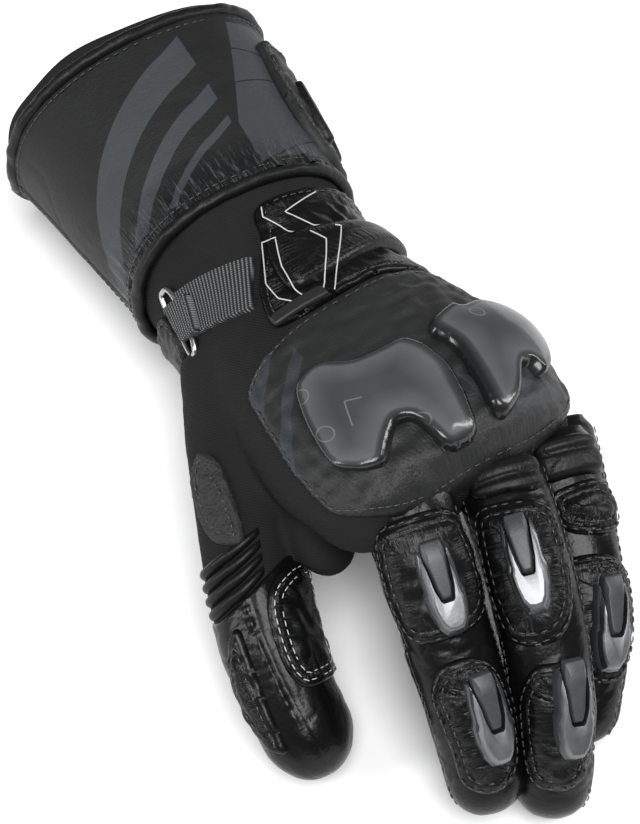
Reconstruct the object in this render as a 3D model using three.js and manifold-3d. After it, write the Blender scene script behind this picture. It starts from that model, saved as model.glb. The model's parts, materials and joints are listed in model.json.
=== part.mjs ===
// Motorcycle gauntlet for the left hand, resting palm down.
// Millimetres, +Z up, fingers toward -Y, thumb toward -X.
// The origin is the middle of the footprint, on the surface that the glove rests on.
import * as THREE from "three";
import Module from "manifold-3d";

const wasm = await Module();
wasm.setup();

// Main sizes
const SLEEVE_LENGTH = 244; // from the cuff's mouth to the finger roots, along the hand
const CUFF_LENGTH = 98;
const PALM_WIDTH = 104;
const PALM_THICKNESS = 58;
const INDEX_LENGTH = 113;
const MIDDLE_LENGTH = 121;
const RING_LENGTH = 106;
const LITTLE_LENGTH = 82;
const THUMB_LENGTH = 150;
const WEB_LENGTH = 52; // textile between the thumb and the index finger
const HEEL_LENGTH = 40; // outer edge of the palm, under the little finger's root
const INDEX_WIDTH = 30;
const MIDDLE_WIDTH = 30;
const RING_WIDTH = 29;
const LITTLE_WIDTH = 25;
const THUMB_WIDTH = 38;
const WEB_WIDTH = 28;
const HEEL_WIDTH = 29;

// Material thicknesses
const TEXTILE = 2.2; // padded textile with its lining
const LEATHER = 2; // finger leather with its lining
const CUFF_LEATHER = 2.6;
const PANEL = 2.2; // leather panel sewn over the textile
const PATCH = 2.4; // padded leather patch on a finger
const WEBBING = 1.8;
const WIRE = 2.4; // metal ring of the strap
const ROLL = 3.4; // padded roll over the wrist
const LABEL = 1;
const GUARD = 6; // moulded guard over the knuckles
const SLIDER = 5; // slider on a finger
const FLAP = 2.4; // closure flap of the cuff
const RIB = 2.2; // moulded rib on the flap, and soft rib on the thumb
const BINDING_WIDTH = 4.6;
const BINDING_HEIGHT = 4.2;
const GAP = 0.3; // clearance between neighbouring pieces
const KNUCKLE_ROUNDING = 14;
const TIP_SHARE = 0.44; // rounding of a fingertip, of the finger's width
const HAND_BLUNT = 0.85; // share of its width that the hand's closed end keeps
const SQUARENESS = 2.3; // of the limbs' sections; 2 would be an ellipse
const HAND_SHORT = 8; // how far before the finger roots' line the hand closes
const LITTLE_START = 4; // how far along the little finger its leather starts

// Cuff's mouth
const MOUTH_SCOOP = 11; // how much further back the mouth is cut over the back of the hand
const LINING_SHOWS = 2.5; // lining past the cuff's mouth

// Sliders
const SLIDER_WIDTH = 13.5;
const SLIDER_LENGTH = 27;
const INSERT_SHARE = 0.5;

// Wrist strap
const RING_LONG = 30;
const RING_ACROSS = 10;
const RING_AT = 121;
const RING_AROUND = -71;

// Thumb
const RIB_COUNT = 4;
const RIB_PITCH = 4.3;
const RIB_WIDTH = 3.8;
const RIBS_FROM = -150; // degrees round the thumb
const RIBS_TO = -60;
const THUMB_LEATHER_AT = 82; // where the thumb's leather starts
const THUMB_LEATHER_SLANT = 11;

// Facets
const HAND_SIDES = 20;
const FINGER_SIDES = 12;
const HAND_STEP = 28;
const FINGER_STEP = 19;
const PATH_STEPS = 200; // pieces that a limb's bent middle line is worked out in

// Section tables. at is a share of the limb's length, wide of its width, and up and down
// of its depth; yaw, pitch and roll are degrees.
const HAND_ROWS = [
  { at: 0, yaw: 1, pitch: 1, roll: 0, wide: 1.04, up: 0.79, down: 0.76 },
  { at: 0.2, yaw: -3, pitch: 0, roll: 0, wide: 0.92, up: 0.725, down: 0.705 },
  { at: 0.39, yaw: -3, pitch: -2, roll: 0, wide: 0.81, up: 0.655, down: 0.64 },
  { at: 0.515, yaw: -2, pitch: -8, roll: -2, wide: 0.77, up: 0.57, down: 0.55 },
  { at: 0.655, yaw: 2, pitch: -14, roll: -4, wide: 0.885, up: 0.55, down: 0.5 },
  { at: 0.795, yaw: 5, pitch: -10, roll: -8, wide: 1.02, up: 0.5, down: 0.45 },
  { at: 0.9, yaw: 4, pitch: 2, roll: -14, wide: 1, up: 0.465, down: 0.4 },
  { at: 1, yaw: 2, pitch: 12, roll: -20, wide: 0.925, up: 0.38, down: 0.345 },
];
const INDEX_ROWS = [
  { at: 0, yaw: -14, pitch: 19, roll: 8, wide: 1, up: 0.465, down: 0.465 },
  { at: 0.21, yaw: -13, pitch: 31, roll: 10, wide: 1.03, up: 0.465, down: 0.465 },
  { at: 0.41, yaw: -11, pitch: 36, roll: 10, wide: 1, up: 0.465, down: 0.465 },
  { at: 0.63, yaw: -11, pitch: 39, roll: 10, wide: 0.97, up: 0.45, down: 0.45 },
  { at: 0.85, yaw: -15, pitch: 50, roll: 10, wide: 0.9, up: 0.43, down: 0.43 },
  { at: 1, yaw: -19, pitch: 54, roll: 10, wide: 0.87, up: 0.4, down: 0.4 },
];
const MIDDLE_ROWS = [
  { at: 0, yaw: -17, pitch: 5, roll: 6, wide: 1, up: 0.465, down: 0.465 },
  { at: 0.26, yaw: -18, pitch: 17, roll: 8, wide: 1, up: 0.465, down: 0.465 },
  { at: 0.46, yaw: -20, pitch: 31, roll: 8, wide: 0.97, up: 0.465, down: 0.465 },
  { at: 0.66, yaw: -26, pitch: 42, roll: 8, wide: 0.93, up: 0.45, down: 0.45 },
  { at: 0.85, yaw: -32, pitch: 56, roll: 8, wide: 0.87, up: 0.415, down: 0.415 },
  { at: 1, yaw: -34, pitch: 62, roll: 8, wide: 0.83, up: 0.4, down: 0.4 },
];
const RING_ROWS = [
  { at: 0, yaw: -17, pitch: 18, roll: 6, wide: 1, up: 0.465, down: 0.465 },
  { at: 0.32, yaw: -20, pitch: 24, roll: 6, wide: 1, up: 0.465, down: 0.465 },
  { at: 0.53, yaw: -26, pitch: 30, roll: 6, wide: 0.97, up: 0.465, down: 0.465 },
  { at: 0.72, yaw: -34, pitch: 36, roll: 6, wide: 0.93, up: 0.45, down: 0.45 },
  { at: 0.87, yaw: -42, pitch: 42, roll: 6, wide: 0.87, up: 0.415, down: 0.415 },
  { at: 1, yaw: -48, pitch: 42, roll: 6, wide: 0.83, up: 0.41, down: 0.41 },
];
const LITTLE_ROWS = [
  { at: 0, yaw: -18, pitch: 20, roll: 8, wide: 1, up: 0.5, down: 0.5 },
  { at: 0.32, yaw: -22, pitch: 25, roll: 8, wide: 1, up: 0.5, down: 0.5 },
  { at: 0.56, yaw: -28, pitch: 30, roll: 8, wide: 1, up: 0.5, down: 0.5 },
  { at: 0.78, yaw: -36, pitch: 30, roll: 8, wide: 0.96, up: 0.48, down: 0.48 },
  { at: 1, yaw: -42, pitch: 24, roll: 8, wide: 0.92, up: 0.44, down: 0.44 },
];
const THUMB_ROWS = [
  { at: 0, yaw: -30, pitch: 7, roll: -50, wide: 1.05, up: 0.525, down: 0.525 },
  { at: 0.2, yaw: -29, pitch: 8, roll: -55, wide: 0.97, up: 0.475, down: 0.5 },
  { at: 0.4, yaw: -28, pitch: 11, roll: -60, wide: 0.87, up: 0.445, down: 0.445 },
  { at: 0.6, yaw: -19, pitch: 17, roll: -60, wide: 0.84, up: 0.41, down: 0.41 },
  { at: 0.79, yaw: -6, pitch: 25, roll: -60, wide: 0.79, up: 0.38, down: 0.38 },
  { at: 1, yaw: 2, pitch: 33, roll: -60, wide: 0.74, up: 0.37, down: 0.37 },
];

const WEB_ROWS = [
  { at: 0, yaw: -17, pitch: 12, roll: -8, wide: 1, up: 0.36, down: 0.36 },
  { at: 0.5, yaw: -17, pitch: 14, roll: -14, wide: 0.86, up: 0.32, down: 0.32 },
  { at: 1, yaw: -15, pitch: 16, roll: -18, wide: 0.75, up: 0.27, down: 0.27 },
];
const HEEL_ROWS = [
  { at: 0, yaw: 40, pitch: 22, roll: 0, wide: 1.1, up: 0.45, down: 0.5 },
  { at: 0.5, yaw: 46, pitch: 25, roll: 0, wide: 1, up: 0.43, down: 0.45 },
  { at: 1, yaw: 50, pitch: 27, roll: 0, wide: 0.9, up: 0.4, down: 0.4 },
];

// Where the fingers and the thumb leave the hand: at is a share of the sleeve's length,
// across of the palm's width and up of its thickness.
const ROOTS = {
  index: { at: 0.914, across: -0.24, up: 0.125 },
  middle: { at: 0.952, across: 0.104, up: 0.1 },
  ring: { at: 0.939, across: 0.375, up: 0.07 },
  little: { at: 0.905, across: 0.54, up: -0.16 },
  thumb: { at: 0.56, across: -0.255, up: -0.045 },
  web: { at: 0.715, across: -0.28, up: -0.08 },
  heel: { at: 0.82, across: 0.26, up: -0.08 },
};

// Outlines of the sewn pieces, as [distance along the limb, degrees around it] from the
// middle of its back, positive toward the little finger. Distances are shares of the
// limb's length.
const OUTLINES = {
  wristPanel: [
    [0.427, 4], [0.443, -2], [0.492, -4], [0.57, -19], [0.623, -25], [0.66, -26],
    [0.666, -12], [0.662, 0], [0.652, 24], [0.655, 56], [0.66, 100], [0.427, 100],
    [0.427, 60], [0.427, 30],
  ],
  wristRoll: [
    [0.5, -4.5], [0.557, -9.5], [0.612, -11], [0.634, -6], [0.628, 6], [0.608, 24],
    [0.588, 46], [0.57, 78], [0.522, 78], [0.514, 46], [0.518, 24], [0.514, 4],
  ],
  label: [[0.644, -24.5], [0.659, -24.5], [0.66, -1], [0.643, -1]],
  webbing: [
    [0.459, -62], [0.512, -12], [0.557, -21], [0.6, -28], [0.53, -73],
  ],
  webbingFold: [[0.462, -71], [0.49, -51], [0.55, -60], [0.525, -76]],
  tab: [
    [0.455, -74], [0.44, -100], [0.43, -150], [0.52, -150], [0.53, -110], [0.53, -79.5],
  ],
  backPanel: [
    [0.705, -58], [0.692, -50], [0.684, -39], [0.676, -20], [0.672, 0], [0.662, 24],
    [0.665, 56], [0.7, 84], [0.82, 88], [0.91, 76], [0.945, 52], [0.962, 24], [0.962, -8],
    [0.966, -28], [0.958, -47], [0.934, -66], [0.905, -78], [0.835, -70], [0.8, -64],
    [0.755, -61],
  ],
  guardInner: [
    [0.766, -36], [0.758, -27], [0.762, -21], [0.786, -14], [0.791, -6], [0.791, 2],
    [0.815, 4.5], [0.848, 4.5], [0.88, 2], [0.926, -2], [0.935, -5], [0.935, -13],
    [0.926, -16], [0.884, -16.5], [0.877, -21], [0.892, -29], [0.91, -37], [0.9, -46],
    [0.88, -52], [0.86, -51], [0.815, -44],
  ],
  guardOuter: [
    [0.79, 9.5], [0.77, 26], [0.782, 27], [0.775, 38], [0.787, 50], [0.8, 61],
    [0.83, 64], [0.855, 58], [0.888, 46], [0.9, 36], [0.88, 34], [0.88, 28],
    [0.915, 17], [0.93, 7], [0.915, 4.5], [0.865, 9], [0.83, 12],
  ],
  palmPatch: [
    [0.66, 130], [0.66, 212], [0.76, 222], [0.86, 216],
    [0.86, 128], [0.76, 120],
  ],
  flap: [
    [0.12, 46], [0.38, 46], [0.56, 46.5], [0.73, 50], [0.86, 57], [0.955, 66],
    [0.955, 128], [0.2, 132],
  ],
  flapRibA: [[0.42, 58], [0.64, 59], [0.8, 64], [0.79, 70.5], [0.63, 65.5], [0.42, 64.5]],
  flapRibB: [[0.42, 74.5], [0.64, 75.5], [0.8, 80.5], [0.79, 87.5], [0.63, 82], [0.42, 81]],
  indexNear: [
    [0.1, -52], [0.09, 0], [0.1, 52], [0.2, 66], [0.33, 68], [0.405, 48], [0.43, 16],
    [0.432, -18], [0.415, -46], [0.34, -58], [0.24, -59],
  ],
  indexFar: [
    [0.57, -45], [0.497, -22], [0.49, 8], [0.54, 42], [0.7, 50], [0.81, 44], [0.87, 22],
    [0.885, -4], [0.84, -36], [0.74, -38], [0.62, -44],
  ],
  middleNear: [
    [0.12, -48], [0.13, 4], [0.165, 46], [0.31, 49], [0.43, 36], [0.487, 8],
    [0.48, -30], [0.45, -50], [0.34, -62], [0.2, -58],
  ],
  middleFar: [
    [0.61, -45], [0.53, -20], [0.53, 8], [0.555, 40], [0.7, 52], [0.82, 44], [0.86, 14],
    [0.85, -20], [0.81, -36], [0.72, -44],
  ],
  ringNear: [
    [0.41, -34], [0.395, 0], [0.41, 36], [0.47, 70], [0.64, 78], [0.77, 50], [0.775, 12],
    [0.75, -18], [0.65, -36], [0.52, -40],
  ],
  rollMiddle: [[0.02, -48], [0.02, 0], [0.02, 48], [0.12, 46], [0.11, 0], [0.1, -46]],
  rollRing: [[0.04, -30], [0.03, 10], [0.04, 60], [0.17, 60], [0.16, 10], [0.17, -26]],
  bridge: [[0.2, -24], [0.18, 10], [0.18, 44], [0.24, 70], [0.34, 68], [0.35, 9], [0.3, -25]],
  abrasionPad: [
    [0.275, -114], [0.255, -102], [0.28, -86], [0.46, -66], [0.49, -72], [0.47, -100],
    [0.42, -115], [0.325, -124],
  ],
  thumbOuter: [
    [0.665, -112], [0.64, -92], [0.71, -93], [0.8, -98], [0.875, -101], [0.915, -104],
    [0.9, -122], [0.84, -140], [0.75, -144],
  ],
  thumbWeb: [
    [0.505, 30], [0.53, -12], [0.558, -34], [0.588, -52], [0.63, -60], [0.69, -63],
    [0.75, -65], [0.79, -60], [0.812, -48], [0.812, 0], [0.8, 30], [0.66, 38],
  ],
};

// Sliders: at and around place the middle on its finger, in shares of its length and degrees.
const SLIDERS = {
  index_slider_near: { limb: "index", at: 0.3, around: 5 },
  index_slider_far: { limb: "index", at: 0.675, around: 12 },
  middle_slider_near: { limb: "middle", at: 0.3, around: -3 },
  middle_slider_far: { limb: "middle", at: 0.65, around: 17 },
  ring_slider: { limb: "ring", at: 0.61, around: 21 },
};

// Plan of a slider and of its insert: across and along are shares of width and length,
// along from the knuckle side.
const SLIDER_PLAN = [
  { across: -0.36, along: -0.5 }, { across: 0.36, along: -0.5 },
  { across: 0.46, along: -0.2 }, { across: 0.5, along: 0.04 },
  { across: 0.36, along: 0.4 }, { across: 0, along: 0.5 },
  { across: -0.36, along: 0.4 }, { across: -0.5, along: 0.04 },
  { across: -0.46, along: -0.2 },
];
const INSERT_PLAN = [
  { across: -0.4, along: -0.62 }, { across: 0.4, along: -0.62 },
  { across: 0.5, along: 0.1 }, { across: 0.3, along: 0.5 },
  { across: -0.3, along: 0.5 }, { across: -0.5, along: 0.1 },
];

const BLACK_TEXTILE = new THREE.MeshStandardMaterial({ color: 0x161617, roughness: 0.95 });
const MATTE_LEATHER = new THREE.MeshStandardMaterial({ color: 0x2a2b2e, roughness: 0.7 });
const GLOSS_LEATHER = new THREE.MeshStandardMaterial({ color: 0x101011, roughness: 0.35 });
const GREY_WEBBING = new THREE.MeshStandardMaterial({ color: 0x55585a, roughness: 0.9 });
const METAL = new THREE.MeshStandardMaterial({ color: 0x8a8c90, roughness: 0.25, metalness: 1 });
const GUARD_PLASTIC = new THREE.MeshStandardMaterial({ color: 0x4a4d52, roughness: 0.25 });
const SLIDER_PLASTIC = new THREE.MeshStandardMaterial({
  color: 0xb4b6ba, roughness: 0.2, metalness: 0.8,
});
const INSERT_PLASTIC = new THREE.MeshStandardMaterial({ color: 0x2c2e33, roughness: 0.4 });
const PAD_RUBBER = new THREE.MeshStandardMaterial({ color: 0x1f2022, roughness: 0.9 });

const radians = THREE.MathUtils.degToRad;

// Value of one column at a share of the length, with a smooth curve through the rows.
function blend(rows, column, share) {
  const last = rows.length - 1;
  const place = THREE.MathUtils.clamp(share, 0, 1);
  let k = 0;
  while (k < last - 1 && place > rows[k + 1].at) {
    k += 1;
  }
  const slope = (i) => {
    const a = rows[Math.max(i - 1, 0)];
    const b = rows[Math.min(i + 1, last)];
    return (b[column] - a[column]) / (b.at - a.at);
  };
  const span = rows[k + 1].at - rows[k].at;
  const t = (place - rows[k].at) / span;
  const s = 1 - t;
  const a = rows[k][column];
  const b = rows[k + 1][column];
  return a * s * s * (1 + 2 * t) + b * t * t * (1 + 2 * s)
    + span * t * s * (slope(k) * s - slope(k + 1) * t);
}

// A bent tube: the sleeve with the hand, a finger or the thumb. off is a distance out of
// its own surface; angles go round it from the middle of its back.
class Limb {
  constructor(root, rows, size) {
    this.rows = rows;
    this.length = size.length;
    this.width = size.width;
    this.depth = size.depth;
    this.tip = size.tip;
    this.end = size.length - (size.short ?? 0);
    this.blunt = size.blunt ?? 0; // share of the width that the rounded end keeps
    this.sides = size.sides;
    this.step = size.step;
    this.power = 2 / size.squareness;
    this.centres = [root.clone()];
    this.fine = this.length / PATH_STEPS;
    for (let k = 0; k < PATH_STEPS; k += 1) {
      const ahead = this.axes((k + 0.5) * this.fine).ahead;
      this.centres.push(this.centres[k].clone().addScaledVector(ahead, this.fine));
    }
  }

  axes(along) {
    const share = along / this.length;
    const yaw = radians(blend(this.rows, "yaw", share));
    const pitch = radians(blend(this.rows, "pitch", share));
    const roll = radians(blend(this.rows, "roll", share));
    const ahead = new THREE.Vector3(
      Math.sin(yaw) * Math.cos(pitch), -Math.cos(yaw) * Math.cos(pitch), -Math.sin(pitch),
    );
    const level = new THREE.Vector3(Math.cos(yaw), Math.sin(yaw), 0);
    const raised = new THREE.Vector3().crossVectors(ahead, level);
    const across = level.clone().multiplyScalar(Math.cos(roll)).addScaledVector(raised, Math.sin(roll));
    const up = raised.multiplyScalar(Math.cos(roll)).addScaledVector(level, -Math.sin(roll));
    return { ahead, across, up };
  }

  centre(along) {
    const place = THREE.MathUtils.clamp(along / this.fine, 0, PATH_STEPS);
    const k = Math.min(Math.floor(place), PATH_STEPS - 1);
    const middle = this.centres[k].clone().lerp(this.centres[k + 1], place - k);
    const past = along - THREE.MathUtils.clamp(along, 0, this.length);
    return middle.addScaledVector(this.axes(along).ahead, past);
  }

  point(along, degrees, off) {
    const { across, up } = this.axes(along);
    const share = along / this.length;
    const rounding = (along - this.end + this.tip) / (this.tip + off);
    const shrink = Math.sqrt(1 - THREE.MathUtils.clamp(rounding, 0, 1) ** 2);
    const narrow = this.blunt + (1 - this.blunt) * shrink;
    const turn = radians(degrees);
    const s = Math.sin(turn);
    const c = Math.cos(turn);
    const x = Math.sign(s) * Math.abs(s) ** this.power
      * (blend(this.rows, "wide", share) * this.width / 2 + off) * narrow;
    const z = Math.sign(c) * Math.abs(c) ** this.power
      * (blend(this.rows, c < 0 ? "down" : "up", share) * this.depth + off) * shrink;
    return this.centre(along).addScaledVector(across, x).addScaledVector(up, z);
  }

  place(share, across, up) {
    const axes = this.axes(share * this.length);
    return this.centre(share * this.length)
      .addScaledVector(axes.across, across * this.width)
      .addScaledVector(axes.up, up * this.depth);
  }
}

// Closed solid from points and triangles, turned so that its faces point out.
function solidOf(points, faces) {
  let volume = 0;
  for (const [a, b, c] of faces) {
    volume += points[a].dot(new THREE.Vector3().crossVectors(points[b], points[c]));
  }
  const turned = volume < 0 ? faces.map(([a, b, c]) => [a, c, b]) : faces;
  const vertProperties = new Float32Array(points.flatMap((p) => p.toArray()));
  const triVerts = new Uint32Array(turned.flat());
  return new wasm.Manifold(new wasm.Mesh({ numProp: 3, vertProperties, triVerts }));
}

// Faces between rings of equal count; joined closes the last ring to the first.
function ringFaces(rings, count, joined) {
  const faces = [];
  const spans = joined ? rings : rings - 1;
  for (let r = 0; r < spans; r += 1) {
    for (let k = 0; k < count; k += 1) {
      const a = r * count + k;
      const b = r * count + (k + 1) % count;
      const c = ((r + 1) % rings) * count + k;
      const d = ((r + 1) % rings) * count + (k + 1) % count;
      faces.push([a, b, d], [a, d, c]);
    }
  }
  return faces;
}

// Whole limb at a distance out of its surface, from start to its rounded tip.
function body(limb, off, start = 0) {
  const straight = limb.end - limb.tip;
  const spans = Math.round(straight / limb.step);
  const stations = [];
  for (let k = 0; k <= spans; k += 1) {
    stations.push(k * straight / spans);
  }
  stations[0] = start;
  for (const share of [0.55, 0.85]) {
    stations.push(straight + share * (limb.tip + off));
  }
  const points = [];
  for (const along of stations) {
    for (let k = 0; k < limb.sides; k += 1) {
      points.push(limb.point(along, k * 360 / limb.sides, off));
    }
  }
  const faces = ringFaces(stations.length, limb.sides, false);
  const first = points.push(limb.centre(start)) - 1;
  const last = points.push(limb.centre(limb.end + off)) - 1;
  const end = (stations.length - 1) * limb.sides;
  for (let k = 0; k < limb.sides; k += 1) {
    const next = (k + 1) % limb.sides;
    faces.push([first, next, k], [last, end + k, end + next]);
  }
  return solidOf(points, faces);
}

// Outline in [along, around] moved inward by a distance, or outward where it is negative.
function inset(limb, outline, distance) {
  const middle = outline.reduce((sum, p) => sum + p[0], 0) / outline.length;
  const share = middle / limb.length;
  const radius = (blend(limb.rows, "wide", share) * limb.width / 2
    + blend(limb.rows, "up", share) * limb.depth) / 2;
  const flat = outline.map(([along, degrees]) => new THREE.Vector2(along, radians(degrees) * radius));
  const side = THREE.ShapeUtils.isClockWise(flat) ? -1 : 1;
  return flat.map((p, k) => {
    const before = flat[(k + flat.length - 1) % flat.length];
    const after = flat[(k + 1) % flat.length];
    const a = p.clone().sub(before).normalize();
    const b = after.clone().sub(p).normalize();
    const normal = new THREE.Vector2(-a.y - b.y, a.x + b.x).normalize();
    const stretch = 1 / Math.max(Math.sqrt((1 + a.dot(b)) / 2), 0.6);
    const moved = p.clone().addScaledVector(normal, side * distance * stretch);
    return [moved.x, moved.y / radius * 180 / Math.PI];
  });
}

// Cutter that stands through a limb's surface inside an outline. taper moves its sides
// inward by a share of the height.
function wedge(limb, outline, low, taper = 0) {
  const angles = outline.map((p) => p[1]);
  const wide = Math.max(...angles) - Math.min(...angles) > 80;
  const tall = wide ? 24 : 12;
  const reach = taper > 0 ? tall : 80;
  const under = outline.map(([along, degrees]) => limb.point(along, degrees, low - 1));
  const over = inset(limb, outline, taper * reach)
    .map(([along, degrees]) => limb.point(along, degrees, low + reach));
  const count = outline.length;
  const points = [...under, ...over];
  const faces = ringFaces(2, count, false);
  if (wide) {
    const along = outline.reduce((sum, p) => sum + p[0], 0) / count;
    const degrees = angles.reduce((sum, p) => sum + p, 0) / count;
    const bottom = points.push(limb.point(along, degrees, low - 1)) - 1;
    const top = points.push(limb.point(along, degrees, low + reach)) - 1;
    for (let k = 0; k < count; k += 1) {
      const next = (k + 1) % count;
      faces.push([bottom, next, k], [top, count + k, count + next]);
    }
    return solidOf(points, faces);
  }
  const flat = outline.map(([along, degrees]) => new THREE.Vector2(along, degrees / 2));
  for (const [a, b, c] of THREE.ShapeUtils.triangulateShape(flat, [])) {
    const clockwise = THREE.ShapeUtils.isClockWise([flat[a], flat[b], flat[c]]);
    const outer = THREE.ShapeUtils.isClockWise(flat);
    const [p, q] = clockwise === outer ? [b, c] : [c, b];
    faces.push([a, q, p], [count + a, count + p, count + q]);
  }
  return solidOf(points, faces);
}

// Layer of a limb between two distances out of its surface, inside an outline in shares.
function layer(limb, outline, low, high, taper = 0) {
  const placed = outline.map(([share, degrees]) => [share * limb.length, degrees]);
  return body(limb, high).subtract(body(limb, low)).intersect(wedge(limb, placed, low, taper));
}

// The same layer with clearance all round it, to cut its neighbours with.
function room(limb, outline, low, high) {
  const placed = outline.map(([share, degrees]) => [share * limb.length, degrees]);
  const wider = inset(limb, placed, -GAP);
  return body(limb, high + GAP).subtract(body(limb, low - GAP - 0.5))
    .intersect(wedge(limb, wider, low - GAP - 0.5));
}

// Ring or arc round a limb. section holds [distance along, distance out of the surface];
// alongAt gives where the section sits at an angle.
function hoop(limb, section, alongAt, from = 0, to = 360) {
  const whole = to - from >= 360;
  const spans = Math.round((to - from) * limb.sides / 360);
  const rings = whole ? spans : spans + 1;
  const points = [];
  for (let k = 0; k < rings; k += 1) {
    const degrees = from + (to - from) * k / spans;
    for (const [ahead, off] of section) {
      points.push(limb.point(alongAt(degrees) + ahead, degrees, off));
    }
  }
  const faces = ringFaces(rings, section.length, whole);
  if (!whole) {
    const end = (rings - 1) * section.length;
    for (let k = 1; k < section.length - 1; k += 1) {
      faces.push([0, k + 1, k], [end, end + k, end + k + 1]);
    }
  }
  return solidOf(points, faces);
}

// Stack of a plan at rising heights over a place on a limb. Each level holds its height
// and the share of the plan that it keeps.
function stack(limb, along, degrees, plan, size, levels) {
  const points = [];
  for (const level of levels) {
    for (const corner of plan) {
      const ahead = along + corner.along * size.length * level.keep;
      const base = limb.point(ahead, degrees, level.off);
      const turned = limb.point(ahead, degrees + 1, level.off).sub(base).normalize();
      points.push(base.addScaledVector(turned, corner.across * size.width * level.keep));
    }
  }
  const count = plan.length;
  const faces = ringFaces(levels.length, count, false);
  const top = (levels.length - 1) * count;
  for (let k = 1; k < count - 1; k += 1) {
    faces.push([0, k + 1, k], [top, top + k, top + k + 1]);
  }
  return solidOf(points, faces);
}

const glove = new THREE.Group();

// Adds a solid to the glove under its own name.
function add(name, solid, material) {
  const mesh = solid.getMesh();
  const geometry = new THREE.BufferGeometry();
  geometry.setAttribute("position", new THREE.BufferAttribute(mesh.vertProperties, 3));
  geometry.setIndex(new THREE.BufferAttribute(mesh.triVerts, 1));
  const shown = new THREE.Mesh(geometry, material);
  shown.name = name;
  glove.add(shown);
}

const hand = new Limb(new THREE.Vector3(0, 0, 0), HAND_ROWS, {
  length: SLEEVE_LENGTH, width: PALM_WIDTH, depth: PALM_THICKNESS, tip: KNUCKLE_ROUNDING,
  short: HAND_SHORT, blunt: HAND_BLUNT, sides: HAND_SIDES, step: HAND_STEP, squareness: SQUARENESS,
});

function digit(name, rows, length, width) {
  const root = ROOTS[name];
  return new Limb(hand.place(root.at, root.across, root.up), rows, {
    length, width, depth: width, tip: width * TIP_SHARE,
    sides: FINGER_SIDES, step: FINGER_STEP, squareness: SQUARENESS,
  });
}

const limbs = {
  hand,
  index: digit("index", INDEX_ROWS, INDEX_LENGTH, INDEX_WIDTH),
  middle: digit("middle", MIDDLE_ROWS, MIDDLE_LENGTH, MIDDLE_WIDTH),
  ring: digit("ring", RING_ROWS, RING_LENGTH, RING_WIDTH),
  little: digit("little", LITTLE_ROWS, LITTLE_LENGTH, LITTLE_WIDTH),
  thumb: digit("thumb", THUMB_ROWS, THUMB_LENGTH, THUMB_WIDTH),
  web: digit("web", WEB_ROWS, WEB_LENGTH, WEB_WIDTH),
  heel: digit("heel", HEEL_ROWS, HEEL_LENGTH, HEEL_WIDTH),
};
const { index, middle, ring, little, thumb, web, heel } = limbs;
const FINGERS = [index, middle, ring, little];
const handRoom = body(hand, GAP).add(body(web, GAP)).add(body(heel, GAP));

// Heights of the layers over the hand and the fingers
const LAID = GAP; // bottom of what lies straight on a limb
const ON_PANEL = LAID + PANEL + GAP;
const ON_CUFF = LAID + CUFF_LEATHER + GAP;
const ON_FLAP = ON_CUFF + FLAP + GAP;
const ON_PATCH = LAID + PATCH + GAP;
const ON_WIRE = LAID + WIRE + GAP;

// How far the mouth is cut back at an angle round the sleeve.
function mouthAt(degrees) {
  const facing = Math.max(0, Math.cos(radians(degrees)) + 0.35) / 1.35;
  return LINING_SHOWS + MOUTH_SCOOP * Math.sqrt(facing);
}

// Where the leather of the thumb starts at an angle round it.
function thumbLeatherAt(degrees) {
  return THUMB_LEATHER_AT - THUMB_LEATHER_SLANT * Math.cos(radians(degrees - 50));
}

function startOf(finger) {
  return finger === little ? LITTLE_START : 0;
}

// Inside of a finger, whose leather is closed where its start stands out beside the hand.
function inside(finger) {
  return body(finger, -LEATHER, startOf(finger) + LEATHER);
}

function addHand() {
  let shell = body(hand, 0);
  for (const side of [web, heel]) {
    shell = shell.add(body(side, 0));
  }
  shell = shell.subtract(body(hand, -TEXTILE, -4));
  for (const side of [web, heel]) {
    shell = shell.subtract(body(side, -TEXTILE));
  }
  const lip = [[0, -TEXTILE - 8], [0, 10], [-60, 10], [-60, -TEXTILE - 8]];
  shell = shell.subtract(hoop(hand, lip, (degrees) => mouthAt(degrees) - LINING_SHOWS));
  for (const finger of FINGERS) {
    shell = shell.subtract(inside(finger));
  }
  shell = shell.subtract(body(thumb, -TEXTILE, 0));
  add("hand_shell", shell, BLACK_TEXTILE);
}

function addFingers() {
  let taken = handRoom;
  for (const name of ["index", "middle", "ring", "little"]) {
    const finger = limbs[name];
    const tube = body(finger, 0, startOf(finger)).subtract(inside(finger)).subtract(taken);
    add(`${name}_shell`, tube, GLOSS_LEATHER);
    taken = taken.add(body(finger, GAP));
  }
}

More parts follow.
